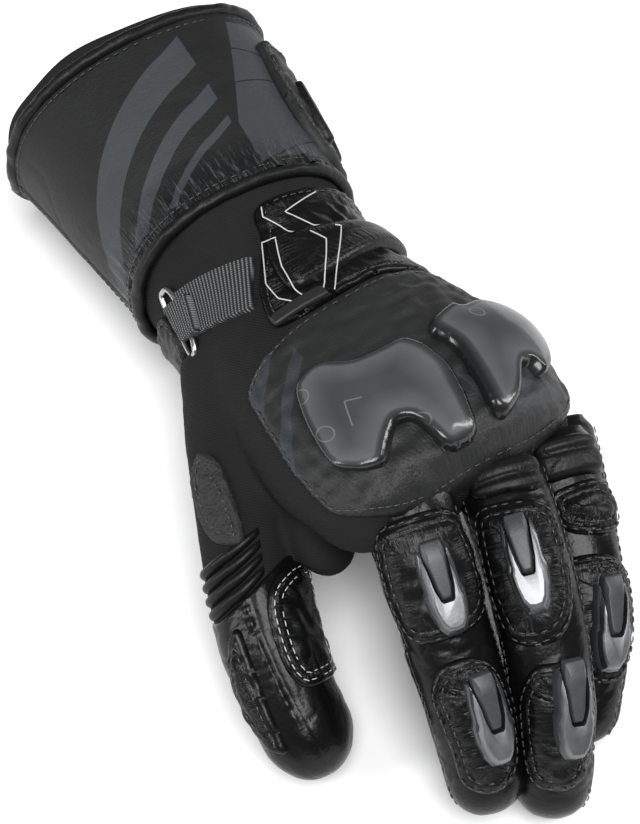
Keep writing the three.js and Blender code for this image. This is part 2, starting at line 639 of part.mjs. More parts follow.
function addThumb() {
  const tube = body(thumb, 0).subtract(body(thumb, -TEXTILE, -1)).subtract(handRoom);
  const before = [[-THUMB_LENGTH, -8], [0, -8], [0, 14], [-THUMB_LENGTH, 14]];
  const leather = tube.subtract(hoop(thumb, before, thumbLeatherAt));
  const kept = [[-THUMB_LENGTH, -8], [-GAP, -8], [-GAP, 14], [-THUMB_LENGTH, 14]];
  const gusset = tube.intersect(hoop(thumb, kept, thumbLeatherAt))
    .subtract(layer(hand, ringOutline(-GAP), LAID - GAP, ON_WIRE))
    .subtract(room(hand, OUTLINES.webbingFold, LAID, ON_WIRE + WEBBING));
  add("thumb_gusset", gusset, BLACK_TEXTILE);
  add("thumb_leather", leather, GLOSS_LEATHER);
  for (let k = 0; k < RIB_COUNT; k += 1) {
    const start = (k - RIB_COUNT) * RIB_PITCH;
    const rib = [
      [start, LAID], [start, LAID + RIB * 0.5], [start + RIB_WIDTH * 0.3, LAID + RIB],
      [start + RIB_WIDTH * 0.7, LAID + RIB], [start + RIB_WIDTH, LAID + RIB * 0.5],
      [start + RIB_WIDTH, LAID],
    ];
    add(`thumb_rib_${k + 1}`, hoop(thumb, rib, thumbLeatherAt, RIBS_FROM, RIBS_TO), GLOSS_LEATHER);
  }
  const ribsStart = -RIB_COUNT * RIB_PITCH - GAP;
  const ribsTop = LAID + RIB + GAP;
  const ribs = [[ribsStart, -GAP], [ribsStart, ribsTop], [0, ribsTop], [0, -GAP]];
  const facet = 360 / FINGER_SIDES;
  const pad = layer(thumb, OUTLINES.abrasionPad, LAID, LAID + PATCH)
    .subtract(handRoom)
    .subtract(hoop(thumb, ribs, thumbLeatherAt, RIBS_FROM - facet, RIBS_TO + facet));
  add("thumb_abrasion_pad", pad, PAD_RUBBER);
  add("thumb_outer_patch", layer(thumb, OUTLINES.thumbOuter, LAID, LAID + PANEL), GLOSS_LEATHER);
  const webPatch = layer(thumb, OUTLINES.thumbWeb, LAID, LAID + PANEL).subtract(handRoom);
  add("thumb_web_patch", webPatch, GLOSS_LEATHER);
}

function bindingSection(start) {
  const w = BINDING_WIDTH;
  const h = BINDING_HEIGHT;
  return [
    [start, LAID], [start, LAID + h * 0.7], [start + w * 0.3, LAID + h],
    [start + w * 0.7, LAID + h], [start + w, LAID + h * 0.7], [start + w, LAID],
  ];
}

function addCuff() {
  const front = CUFF_LENGTH - BINDING_WIDTH - GAP;
  const spans = 5;
  const points = [];
  for (const off of [LAID, LAID + CUFF_LEATHER]) {
    for (let r = 0; r <= spans; r += 1) {
      for (let k = 0; k < HAND_SIDES; k += 1) {
        const degrees = k * 360 / HAND_SIDES;
        const start = mouthAt(degrees) + BINDING_WIDTH + GAP;
        points.push(hand.point(start + (front - start) * r / spans, degrees, off));
      }
    }
  }
  const rings = spans + 1;
  const order = [];
  for (let r = 0; r < rings; r += 1) {
    order.push(r);
  }
  for (let r = rings - 1; r >= 0; r -= 1) {
    order.push(rings + r);
  }
  const turned = order.flatMap((r) => points.slice(r * HAND_SIDES, (r + 1) * HAND_SIDES));
  add("gauntlet_cuff", solidOf(turned, ringFaces(2 * rings, HAND_SIDES, true)), MATTE_LEATHER);
  add("cuff_mouth_binding", hoop(hand, bindingSection(0), mouthAt), GLOSS_LEATHER);
  const wristAt = () => CUFF_LENGTH - BINDING_WIDTH;
  add("cuff_wrist_binding", hoop(hand, bindingSection(0), wristAt), GLOSS_LEATHER);
}

function cuffOutline(outline) {
  const start = MOUTH_SCOOP + LINING_SHOWS + BINDING_WIDTH;
  const span = CUFF_LENGTH - BINDING_WIDTH - GAP - start;
  return outline.map(([share, degrees]) => [(start + share * span) / SLEEVE_LENGTH, degrees]);
}

function addFlap() {
  const flap = layer(hand, cuffOutline(OUTLINES.flap), ON_CUFF, ON_CUFF + FLAP);
  add("cuff_closure_flap", flap, MATTE_LEATHER);
  const ribs = { a: OUTLINES.flapRibA, b: OUTLINES.flapRibB };
  for (const [name, outline] of Object.entries(ribs)) {
    const rib = layer(hand, cuffOutline(outline), ON_FLAP, ON_FLAP + RIB);
    add(`cuff_flap_rib_${name}`, rib, GLOSS_LEATHER);
  }
}

function addWrist() {
  add("wrist_panel", layer(hand, OUTLINES.wristPanel, LAID, LAID + PANEL), GLOSS_LEATHER);
  const roll = layer(hand, OUTLINES.wristRoll, ON_PANEL, ON_PANEL + ROLL, 0.3);
  add("wrist_padded_roll", roll, GLOSS_LEATHER);
  add("wrist_label", layer(hand, OUTLINES.label, ON_PANEL, ON_PANEL + LABEL), BLACK_TEXTILE);
}

// Corners of the strap's ring in shares, made smaller by a distance.
function ringOutline(smaller) {
  const long = RING_LONG / 2 - smaller;
  const wide = RING_ACROSS / 2 - smaller;
  const radius = PALM_WIDTH * 0.36;
  const lean = radians(-17);
  const corners = [[-long, -wide], [long, -wide], [long, wide], [-long, wide]];
  return corners.map(([x, y]) => {
    const along = RING_AT + x * Math.cos(lean) - y * Math.sin(lean);
    const around = x * Math.sin(lean) + y * Math.cos(lean);
    return [along / SLEEVE_LENGTH, RING_AROUND + around / radius * 180 / Math.PI];
  });
}

function addStrap() {
  const high = LAID + WIRE;
  const frame = layer(hand, ringOutline(0), LAID, high)
    .subtract(layer(hand, ringOutline(WIRE), LAID - 1, high + 1));
  add("strap_ring", frame, METAL);
  const clear = layer(hand, ringOutline(-GAP), LAID - GAP, high + GAP)
    .subtract(layer(hand, ringOutline(WIRE + GAP), LAID - 1, high + 1));
  const top = ON_WIRE + WEBBING;
  const webbing = layer(hand, OUTLINES.webbing, LAID, LAID + WEBBING)
    .add(layer(hand, OUTLINES.webbingFold, LAID, top))
    .subtract(clear);
  add("webbing_strap", webbing, GREY_WEBBING);
  const tab = layer(hand, OUTLINES.tab, LAID, top).subtract(clear)
    .subtract(room(hand, OUTLINES.webbingFold, LAID, top))
    .subtract(body(thumb, GAP));
  add("strap_tab", tab, GLOSS_LEATHER);
}

function addBack() {
  let panel = layer(hand, OUTLINES.backPanel, LAID, LAID + PANEL);
  for (const finger of [...FINGERS, thumb]) {
    panel = panel.subtract(body(finger, GAP));
  }
  add("back_panel", panel, MATTE_LEATHER);
  const high = ON_PANEL + GUARD;
  add("knuckle_guard_inner", layer(hand, OUTLINES.guardInner, ON_PANEL, high, 0.3), GUARD_PLASTIC);
  add("knuckle_guard_outer", layer(hand, OUTLINES.guardOuter, ON_PANEL, high, 0.3), GUARD_PLASTIC);
  const palm = layer(hand, OUTLINES.palmPatch, LAID, LAID + PANEL)
    .subtract(body(thumb, GAP)).subtract(body(web, GAP)).subtract(body(heel, GAP));
  add("palm_patch", palm, GLOSS_LEATHER);
}

function addPatches() {
  const backRoom = room(hand, OUTLINES.backPanel, LAID, LAID + PANEL).add(handRoom);
  const patches = {
    index_patch_near: { limb: index, outline: OUTLINES.indexNear, beside: [middle] },
    index_patch_far: { limb: index, outline: OUTLINES.indexFar, beside: [middle] },
    middle_patch_near: { limb: middle, outline: OUTLINES.middleNear, beside: [index, ring] },
    middle_patch_far: { limb: middle, outline: OUTLINES.middleFar, beside: [index, ring] },
    knuckle_roll_middle: { limb: middle, outline: OUTLINES.rollMiddle, beside: [index, ring] },
    knuckle_roll_ring: { limb: ring, outline: OUTLINES.rollRing, beside: [middle, little] },
    ring_patch: { limb: ring, outline: OUTLINES.ringNear, beside: [middle, little] },
    bridge_strap: { limb: ring, outline: OUTLINES.bridge, beside: [middle, little] },
  };
  let taken = backRoom;
  for (const [name, { limb, outline, beside }] of Object.entries(patches)) {
    let patch = layer(limb, outline, LAID, LAID + PATCH).subtract(taken);
    taken = taken.add(room(limb, outline, LAID, LAID + PATCH));
    for (const other of beside) {
      patch = patch.subtract(body(other, GAP));
    }
    add(name, patch, GLOSS_LEATHER);
  }
}

function addSliders() {
  for (const [name, { limb: finger, at, around }] of Object.entries(SLIDERS)) {
    const limb = limbs[finger];
    const along = at * limb.length;
    const size = { width: SLIDER_WIDTH, length: SLIDER_LENGTH };
    const shell = stack(limb, along, around, SLIDER_PLAN, size, [
      { off: ON_PATCH - 2.5, keep: 1 }, { off: ON_PATCH + SLIDER * 0.35, keep: 1 },
      { off: ON_PATCH + SLIDER, keep: 0.7 },
    ]).subtract(body(limb, ON_PATCH));
    const inner = { width: SLIDER_WIDTH * INSERT_SHARE, length: SLIDER_LENGTH * INSERT_SHARE };
    const seat = along - SLIDER_LENGTH * 0.1;
    const floor = ON_PATCH + SLIDER * 0.45;
    const insert = stack(limb, seat, around, INSERT_PLAN, inner, [
      { off: floor, keep: 1 }, { off: ON_PATCH + SLIDER + 0.6, keep: 0.9 },
    ]);
    const wider = { width: inner.width + 2 * GAP, length: inner.length + 2 * GAP };
    const pocket = stack(limb, seat, around, INSERT_PLAN, wider, [
      { off: floor - GAP, keep: 1 }, { off: ON_PATCH + SLIDER + 4, keep: 1 },
    ]);
    add(name, shell.subtract(pocket), SLIDER_PLASTIC);
    add(`${name}_insert`, insert, INSERT_PLASTIC);
  }
}

addHand();
addFingers();
addThumb();
addCuff();
addFlap();
addWrist();
addStrap();
addBack();
addPatches();
addSliders();

// The glove stands with the middle of its footprint at the origin.
const box = new THREE.Box3().setFromObject(glove);
const centre = box.getCenter(new THREE.Vector3());
glove.position.set(-centre.x, -centre.y, -box.min.z);
glove.updateMatrixWorld(true);

export default glove;
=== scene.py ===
import json
import math

import bpy
import numpy as np
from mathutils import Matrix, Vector

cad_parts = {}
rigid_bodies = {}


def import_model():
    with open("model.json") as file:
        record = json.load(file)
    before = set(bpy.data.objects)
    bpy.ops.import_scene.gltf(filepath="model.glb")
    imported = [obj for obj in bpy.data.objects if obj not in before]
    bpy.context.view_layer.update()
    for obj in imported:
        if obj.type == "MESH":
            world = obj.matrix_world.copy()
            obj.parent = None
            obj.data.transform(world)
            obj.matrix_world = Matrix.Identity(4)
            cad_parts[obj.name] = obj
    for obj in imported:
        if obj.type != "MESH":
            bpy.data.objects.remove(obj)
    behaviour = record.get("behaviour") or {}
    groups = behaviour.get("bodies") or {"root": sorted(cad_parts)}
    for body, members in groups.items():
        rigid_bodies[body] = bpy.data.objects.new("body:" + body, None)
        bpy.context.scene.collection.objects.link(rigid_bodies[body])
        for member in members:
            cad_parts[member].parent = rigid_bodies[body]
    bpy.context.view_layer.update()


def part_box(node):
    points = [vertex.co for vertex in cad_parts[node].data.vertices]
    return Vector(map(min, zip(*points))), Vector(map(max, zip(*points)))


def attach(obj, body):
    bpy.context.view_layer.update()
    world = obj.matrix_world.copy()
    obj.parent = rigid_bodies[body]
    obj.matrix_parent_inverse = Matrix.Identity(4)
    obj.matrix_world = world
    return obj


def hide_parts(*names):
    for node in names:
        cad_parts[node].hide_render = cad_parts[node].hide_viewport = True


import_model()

for name in ("Cube", "Light", "Camera"):
    if name in bpy.data.objects:
        bpy.data.objects.remove(bpy.data.objects[name])

# Main sizes of the glove, in millimetres
SLEEVE_LENGTH = 244  # from the cuff's mouth to the finger roots, along the hand
CUFF_LENGTH = 98
PALM_WIDTH = 104
PALM_THICKNESS = 58
INDEX_LENGTH = 113
MIDDLE_LENGTH = 121
RING_LENGTH = 106
LITTLE_LENGTH = 82
THUMB_LENGTH = 150
WEB_LENGTH = 52  # textile between the thumb and the index finger
HEEL_LENGTH = 40  # outer edge of the palm, under the little finger's root
INDEX_WIDTH = 30
MIDDLE_WIDTH = 30
RING_WIDTH = 29
LITTLE_WIDTH = 25
THUMB_WIDTH = 38
WEB_WIDTH = 28
HEEL_WIDTH = 29
TIP_SHARE = 0.44  # of a finger's width, the rounding of its tip
KNUCKLE_ROUNDING = 14
HAND_SHORT = 8  # how far before the finger roots' line the hand closes
HAND_BLUNT = 0.85  # share of the palm's width that its closed end keeps
SQUARENESS = 2.3  # of a limb's section, where 2 is an ellipse

# Thicknesses
TEXTILE = 2.2
CUFF_LEATHER = 2.6
PANEL = 2.2
PATCH = 2.4
WEBBING = 1.8
WIRE = 2.4
ROLL = 3.4
LABEL = 1
GUARD = 6
SLIDER = 5
FLAP = 2.4
RIB = 2.2
BINDING_WIDTH = 4.6
BINDING_HEIGHT = 4.2
GAP = 0.3

# Sewn edges and thread
GROOVE_WIDTH = 0.8  # valley that a line of stitches pulls into leather
GROOVE_DEPTH = 0.35
EDGE_FOOT = 0.7  # how far an edge runs down into what lies under it
PATCH_GATHERS = 0.12
ROOT_TUCK = 2.6  # how far the fingers' leather turns in where it starts
STITCH_PITCH = 2.9
THREAD = 0.62
FINE_THREAD = 0.42
PIPING_RADIUS = 0.25

# Fineness of the meshes and of the noise
LIMB_STEPS = 200
TIP_RINGS = 9
CUFF_SOLID_SIDES = 20
CUFF_SOLID_RINGS = 6
BORDER_SNAP = 0.62  # share of a cell within which a grid point moves onto the border
NOISE_WAVES = 26  # sines that add up to the noise

# Heights of the layers over the limbs
ON_LIMB = GAP
ON_PANEL = ON_LIMB + PANEL + GAP
ON_CUFF = ON_LIMB + CUFF_LEATHER + GAP
ON_FLAP = ON_CUFF + FLAP + GAP
ON_PATCH = ON_LIMB + PATCH + GAP

# Cuff's mouth, thumb, strap and sliders
MOUTH_SCOOP = 11
LINING_SHOWS = 2.5
THUMB_LEATHER_AT = 82
THUMB_LEATHER_SLANT = 11
RIB_COUNT = 4
RIB_PITCH = 4.3
RIB_WIDTH = 3.8
RING_LONG = 30
RING_ACROSS = 10
RING_AT = 121
RING_AROUND = -71
RING_LEAN = -17
STRAP_LEAN = math.radians(-21)  # of the webbing's length from straight round the wrist
STRAP_RIB = 1.35  # from rib to rib of the webbing
SLIDER_WIDTH = 13.5
SLIDER_LENGTH = 27
CUFF_FRONT = CUFF_LENGTH - BINDING_WIDTH  # where the cuff's leather meets its wrist binding

# Section tables: at is a share of the limb's length, wide of its width, and up and down of
# its depth; yaw, pitch and roll are degrees.
COLUMNS = ("at", "yaw", "pitch", "roll", "wide", "up", "down")
HAND_ROWS = [
    (0, 1, 1, 0, 1.04, 0.79, 0.76),
    (0.2, -3, 0, 0, 0.92, 0.725, 0.705),
    (0.39, -3, -2, 0, 0.81, 0.655, 0.64),
    (0.515, -2, -8, -2, 0.77, 0.57, 0.55),
    (0.655, 2, -14, -4, 0.885, 0.55, 0.5),
    (0.795, 5, -10, -8, 1.02, 0.5, 0.45),
    (0.9, 4, 2, -14, 1, 0.465, 0.4),
    (1, 2, 12, -20, 0.925, 0.38, 0.345),
]
INDEX_ROWS = [
    (0, -14, 19, 8, 1, 0.465, 0.465),
    (0.21, -13, 31, 10, 1.03, 0.465, 0.465),
    (0.41, -11, 36, 10, 1, 0.465, 0.465),
    (0.63, -11, 39, 10, 0.97, 0.45, 0.45),
    (0.85, -15, 50, 10, 0.9, 0.43, 0.43),
    (1, -19, 54, 10, 0.87, 0.4, 0.4),
]
MIDDLE_ROWS = [
    (0, -17, 5, 6, 1, 0.465, 0.465),
    (0.26, -18, 17, 8, 1, 0.465, 0.465),
    (0.46, -20, 31, 8, 0.97, 0.465, 0.465),
    (0.66, -26, 42, 8, 0.93, 0.45, 0.45),
    (0.85, -32, 56, 8, 0.87, 0.415, 0.415),
    (1, -34, 62, 8, 0.83, 0.4, 0.4),
]
RING_ROWS = [
    (0, -17, 18, 6, 1, 0.465, 0.465),
    (0.32, -20, 24, 6, 1, 0.465, 0.465),
    (0.53, -26, 30, 6, 0.97, 0.465, 0.465),
    (0.72, -34, 36, 6, 0.93, 0.45, 0.45),
    (0.87, -42, 42, 6, 0.87, 0.415, 0.415),
    (1, -48, 42, 6, 0.83, 0.41, 0.41),
]
LITTLE_ROWS = [
    (0, -18, 20, 8, 1, 0.5, 0.5),
    (0.32, -22, 25, 8, 1, 0.5, 0.5),
    (0.56, -28, 30, 8, 1, 0.5, 0.5),
    (0.78, -36, 30, 8, 0.96, 0.48, 0.48),
    (1, -42, 24, 8, 0.92, 0.44, 0.44),
]
THUMB_ROWS = [
    (0, -30, 7, -50, 1.05, 0.525, 0.525),
    (0.2, -29, 8, -55, 0.97, 0.475, 0.5),
    (0.4, -28, 11, -60, 0.87, 0.445, 0.445),
    (0.6, -19, 17, -60, 0.84, 0.41, 0.41),
    (0.79, -6, 25, -60, 0.79, 0.38, 0.38),
    (1, 2, 33, -60, 0.74, 0.37, 0.37),
]
WEB_ROWS = [
    (0, -17, 12, -8, 1, 0.36, 0.36),
    (0.5, -17, 14, -14, 0.86, 0.32, 0.32),
    (1, -15, 16, -18, 0.75, 0.27, 0.27),
]
HEEL_ROWS = [
    (0, 40, 22, 0, 1.1, 0.45, 0.5),
    (0.5, 46, 25, 0, 1, 0.43, 0.45),
    (1, 50, 27, 0, 0.9, 0.4, 0.4),
]

# Where the fingers and the thumb leave the hand: shares of the sleeve's length, of the
# palm's width and of its thickness.
ROOTS = {
    "index": (0.914, -0.24, 0.125),
    "middle": (0.952, 0.104, 0.1),
    "ring": (0.939, 0.375, 0.07),
    "little": (0.905, 0.54, -0.16),
    "thumb": (0.56, -0.255, -0.045),
    "web": (0.715, -0.28, -0.08),
    "heel": (0.82, 0.26, -0.08),
}

# Outlines of the sewn pieces, as (share of the limb's length, degrees around it)
WRIST_PANEL = [
    (0.427, 4), (0.443, -2), (0.492, -4), (0.57, -19), (0.623, -25), (0.66, -26),
    (0.666, -12), (0.662, 0), (0.652, 24), (0.655, 56), (0.66, 100), (0.427, 100),
    (0.427, 60), (0.427, 30),
]
WRIST_ROLL = [
    (0.5, -4.5), (0.557, -9.5), (0.612, -11), (0.634, -6), (0.628, 6), (0.608, 24),
    (0.588, 46), (0.57, 78), (0.522, 78), (0.514, 46), (0.518, 24), (0.514, 4),
]
LABEL_OUTLINE = [(0.644, -24.5), (0.663, -24.5), (0.664, -1), (0.643, -1)]
STRAP = [(0.459, -62), (0.512, -12), (0.557, -21), (0.6, -28), (0.53, -73)]
STRAP_FOLD = [(0.462, -71), (0.49, -51), (0.55, -60), (0.525, -76)]
TAB = [
    (0.455, -74), (0.44, -100), (0.43, -150), (0.52, -150), (0.53, -110), (0.53, -79.5),
]
BACK_PANEL = [
    (0.705, -58), (0.692, -50), (0.684, -39), (0.676, -20), (0.672, 0), (0.662, 24),
    (0.665, 56), (0.7, 84), (0.82, 88), (0.91, 76), (0.945, 52), (0.962, 24), (0.962, -8),
    (0.966, -28), (0.958, -47), (0.934, -66), (0.905, -78), (0.835, -70), (0.8, -64),
    (0.755, -61),
]
GUARD_INNER = [
    (0.766, -36), (0.758, -27), (0.762, -21), (0.786, -14), (0.791, -6), (0.791, 2),
    (0.815, 4.5), (0.848, 4.5), (0.88, 2), (0.926, -2), (0.935, -5), (0.935, -13),
    (0.926, -16), (0.884, -16.5), (0.877, -21), (0.892, -29), (0.91, -37), (0.9, -46),
    (0.88, -52), (0.86, -51), (0.815, -44),
]
GUARD_OUTER = [
    (0.79, 9.5), (0.77, 26), (0.782, 27), (0.775, 38), (0.787, 50), (0.8, 61),
    (0.83, 64), (0.855, 58), (0.888, 46), (0.9, 36), (0.88, 34), (0.88, 28),
    (0.915, 17), (0.93, 7), (0.915, 4.5), (0.865, 9), (0.83, 12),
]
PALM_PATCH = [(0.66, 130), (0.66, 212), (0.76, 222), (0.86, 216), (0.86, 128), (0.76, 120)]
FLAP_OUTLINE = [
    (0.12, 46), (0.38, 46), (0.56, 46.5), (0.73, 50), (0.86, 57), (0.955, 66),
    (0.955, 128), (0.2, 132),
]
FLAP_RIBS = {
    "a": [(0.42, 58), (0.64, 59), (0.8, 64), (0.79, 70.5), (0.63, 65.5), (0.42, 64.5)],
    "b": [(0.42, 74.5), (0.64, 75.5), (0.8, 80.5), (0.79, 87.5), (0.63, 82), (0.42, 81)],
}
ABRASION_PAD = [
    (0.275, -114), (0.255, -102), (0.28, -86), (0.46, -66), (0.49, -72), (0.47, -100),
    (0.42, -115), (0.325, -124),
]
THUMB_OUTER = [
    (0.665, -112), (0.64, -92), (0.71, -93), (0.8, -98), (0.875, -101), (0.915, -104),
    (0.9, -122), (0.84, -140), (0.75, -144),
]
THUMB_WEB = [
    (0.505, 30), (0.53, -12), (0.558, -34), (0.588, -52), (0.63, -60), (0.69, -63),
    (0.75, -65), (0.79, -60), (0.812, -48), (0.812, 0), (0.8, 30), (0.66, 38),
]
PATCHES = {
    "index_patch_near": ("index", [
        (0.1, -52), (0.09, 0), (0.1, 52), (0.2, 66), (0.33, 68), (0.405, 48), (0.43, 16),
        (0.432, -18), (0.415, -46), (0.34, -58), (0.24, -59),
    ]),
    "index_patch_far": ("index", [
        (0.57, -45), (0.497, -22), (0.49, 8), (0.54, 42), (0.7, 50), (0.81, 44), (0.87, 22),
        (0.885, -4), (0.84, -36), (0.74, -38), (0.62, -44),
    ]),
    "middle_patch_near": ("middle", [
        (0.12, -48), (0.13, 4), (0.165, 46), (0.31, 49), (0.43, 36), (0.487, 8),
        (0.48, -30), (0.45, -50), (0.34, -62), (0.2, -58),
    ]),
    "middle_patch_far": ("middle", [
        (0.61, -45), (0.53, -20), (0.53, 8), (0.555, 40), (0.7, 52), (0.82, 44), (0.86, 14),
        (0.85, -20), (0.81, -36), (0.72, -44),
    ]),
    "ring_patch": ("ring", [
        (0.41, -34), (0.395, 0), (0.41, 36), (0.47, 70), (0.64, 78), (0.77, 50),
        (0.775, 12), (0.75, -18), (0.65, -36), (0.52, -40),
    ]),
    "bridge_strap": ("ring", [
        (0.2, -24), (0.18, 10), (0.18, 44), (0.24, 70), (0.34, 68), (0.35, 9), (0.3, -25),
    ]),
}
KNUCKLE_ROLLS = {
    "knuckle_roll_middle": ("middle", [
        (0.02, -48), (0.02, 0), (0.02, 48), (0.12, 46), (0.11, 0), (0.1, -46),
    ]),
    "knuckle_roll_ring": ("ring", [
        (0.04, -30), (0.03, 10), (0.04, 60), (0.17, 60), (0.16, 10), (0.17, -26),
    ]),
}

# Sliders, as (finger, share of its length, degrees around it)
SLIDERS = {
    "index_slider_near": ("index", 0.3, 5),
    "index_slider_far": ("index", 0.675, 12),
    "middle_slider_near": ("middle", 0.3, -3),
    "middle_slider_far": ("middle", 0.65, 17),
    "ring_slider": ("ring", 0.61, 21),
}

# Right half of a slider's plan and of its insert's, as (across, along) in shares of width
# and length, from the knuckle side to the fingertip side.
SLIDER_HALF = [
    (0.28, -0.5), (0.38, -0.49), (0.45, -0.3), (0.45, -0.06), (0.5, 0.02), (0.47, 0.2),
    (0.36, 0.39), (0.22, 0.485), (0, 0.5),
]
INSERT_HALF = [(0.24, -0.52), (0.28, -0.4), (0.2, 0), (0.14, 0.12), (0.1, 0.14), (0, 0.14)]

# White piping of the wrist panel, as (millimetres along the hand, degrees around it)
PIPING = [
    [(108, 1.5), (112.4, 0), (119.4, 3), (126.4, 5.3)],
    [(108, 30), (114, 8.4), (120, 13), (127.2, 18.3)],
    [(126.4, -1.5), (123, -6), (133.3, -11.4), (142, -16), (151.6, -16), (160, -9.9)],
    [(127, -2), (134, -4.5), (141.2, -6.9), (152.5, -8.6), (160, -7)],
    [(130.7, 9.1), (138.6, 11.4), (147.3, 6.1), (154.2, 1.5), (160.4, -2)],
    [(131.6, 20.5), (133, 22.6), (145.5, 13), (155.1, 5.3), (161, 1)],
]

# Studs that show through the guards, as (along, around, radius) in millimetres
GUARD_STUDS = [(192, -26, 2.4), (206, -30, 2.4), (218, -11, 2), (196, 20, 2), (203, 38, 2.2)]

# Lines printed on the cuff, as (x's share, y's share, their sum on the line, half width)
CUFF_STRIPES = [(0.8, 0.6, 30, 6), (0.8, 0.6, 47, 3), (0.8, 0.6, 58, 1.4)]
CUFF_SEAMS = [(0.98, -0.2, 30, 0.3), (1.0, 0.05, 52, 0.3), (0.9, 0.3, 84, 0.3)]

# Camera and lights
CAMERA_AZIMUTH = -33
CAMERA_ELEVATION = 57
CAMERA_LENS = 90
CAMERA_SENSOR = 36
CAMERA_DISTANCE = 721
CAMERA_TARGET = (-18, -168, 2)  # millimetres from the middle of the cuff's mouth
LIT_POINT = (0, 0, 0.04)  # metres, where the two strip lights point
WORLD_LIGHT = 0.16
SUN_LIGHT = 3.3


def blend(rows, column, share):
    """Value of a column at a share of the length, on a smooth curve through the rows."""
    at = rows["at"]
    value = rows[column]
    place = np.clip(share, 0, 1)
    k = np.clip(np.searchsorted(at, place) - 1, 0, len(at) - 2)
    slope = np.empty_like(value)
    slope[1:-1] = (value[2:] - value[:-2]) / (at[2:] - at[:-2])
    slope[0] = (value[1] - value[0]) / (at[1] - at[0])
    slope[-1] = (value[-1] - value[-2]) / (at[-1] - at[-2])
    span = at[k + 1] - at[k]
    t = (place - at[k]) / span
    s = 1 - t
    ends = value[k] * s * s * (1 + 2 * t) + value[k + 1] * t * t * (1 + 2 * s)
    return ends + span * t * s * (slope[k] * s - slope[k + 1] * t)


class Limb:
    """A bent tube: the sleeve with the hand, a finger or the thumb, in millimetres."""

    def __init__(self, root, rows, length, width, depth, tip, short=0, blunt=0):
        self.rows = {name: np.array(v, float) for name, v in zip(COLUMNS, zip(*rows))}
        self.length = length
        self.width = width
        self.depth = depth
        self.tip = tip
        self.end = length - short
        self.blunt = blunt
        self.fine = length / LIMB_STEPS
        ahead = self.axes((np.arange(LIMB_STEPS) + 0.5) * self.fine)[0]
        path = root + np.cumsum(ahead * self.fine, axis=0)
        self.centres = np.vstack([root, path])

    def axes(self, along):
        share = np.asarray(along, float) / self.length
        turns = [np.radians(blend(self.rows, name, share)) for name in COLUMNS[1:4]]
        yaw, pitch, roll = turns
        flat = np.cos(pitch)
        ahead = np.stack([np.sin(yaw) * flat, -np.cos(yaw) * flat, -np.sin(pitch)], -1)
        level = np.stack([np.cos(yaw), np.sin(yaw), np.zeros_like(yaw)], -1)
        raised = np.cross(ahead, level)
        c = np.cos(roll)[..., None]
        s = np.sin(roll)[..., None]
        return ahead, level * c + raised * s, raised * c - level * s

    def centre(self, along):
        along = np.asarray(along, float)
        place = np.clip(along / self.fine, 0, LIMB_STEPS)
        k = np.minimum(place.astype(int), LIMB_STEPS - 1)
        part = (place - k)[..., None]
        middle = self.centres[k] * (1 - part) + self.centres[k + 1] * part
        past = along - np.clip(along, 0, self.length)
        return middle + self.axes(along)[0] * past[..., None]

    def point(self, along, degrees, off):
        along, degrees, off = np.broadcast_arrays(*map(np.float64, (along, degrees, off)))
        _, across, up = self.axes(along)
        share = along / self.length
        rounding = np.clip((along - self.end + self.tip) / (self.tip + off), 0, 1)
        shrink = np.sqrt(1 - rounding ** 2)
        narrow = self.blunt + (1 - self.blunt) * shrink
        s = np.sin(np.radians(degrees))
        c = np.cos(np.radians(degrees))
        rise = np.where(c < 0, blend(self.rows, "down", share), blend(self.rows, "up", share))
        wide = blend(self.rows, "wide", share) * self.width / 2 + off
        x = np.sign(s) * np.abs(s) ** (2 / SQUARENESS) * wide * narrow
        z = np.sign(c) * np.abs(c) ** (2 / SQUARENESS) * (rise * self.depth + off) * shrink
        return self.centre(along) + across * x[..., None] + up * z[..., None]

    def place(self, share, across, up):
        _, side, top = self.axes(share * self.length)
        middle = self.centre(share * self.length)
        return middle + side * across * self.width + top * up * self.depth

    def radius(self, share):
        """Mean radius of the limb's upper side, to turn degrees into millimetres."""
        wide = blend(self.rows, "wide", share) * self.width / 2
        return (wide + blend(self.rows, "up", share) * self.depth) / 2


hand = Limb(
    np.zeros(3), HAND_ROWS, SLEEVE_LENGTH, PALM_WIDTH, PALM_THICKNESS, KNUCKLE_ROUNDING,
    short=HAND_SHORT, blunt=HAND_BLUNT,
)


def digit(name, rows, length, width):
    root = hand.place(*ROOTS[name])
    return Limb(root, rows, length, width, width, width * TIP_SHARE)


limbs = {
    "index": digit("index", INDEX_ROWS, INDEX_LENGTH, INDEX_WIDTH),
    "middle": digit("middle", MIDDLE_ROWS, MIDDLE_LENGTH, MIDDLE_WIDTH),
    "ring": digit("ring", RING_ROWS, RING_LENGTH, RING_WIDTH),
    "little": digit("little", LITTLE_ROWS, LITTLE_LENGTH, LITTLE_WIDTH),
    "thumb": digit("thumb", THUMB_ROWS, THUMB_LENGTH, THUMB_WIDTH),
    "web": digit("web", WEB_ROWS, WEB_LENGTH, WEB_WIDTH),
    "heel": digit("heel", HEEL_ROWS, HEEL_LENGTH, HEEL_WIDTH),
}
thumb = limbs["thumb"]


def mouth_at(degrees):
    """How far the cuff's mouth is cut back at an angle round the sleeve."""
    facing = np.maximum(0, np.cos(np.radians(degrees)) + 0.35) / 1.35
    return LINING_SHOWS + MOUTH_SCOOP * np.sqrt(facing)


def thumb_leather_at(degrees):
    """Where the thumb's leather starts at an angle round it."""
    return THUMB_LEATHER_AT - THUMB_LEATHER_SLANT * np.cos(np.radians(degrees - 50))


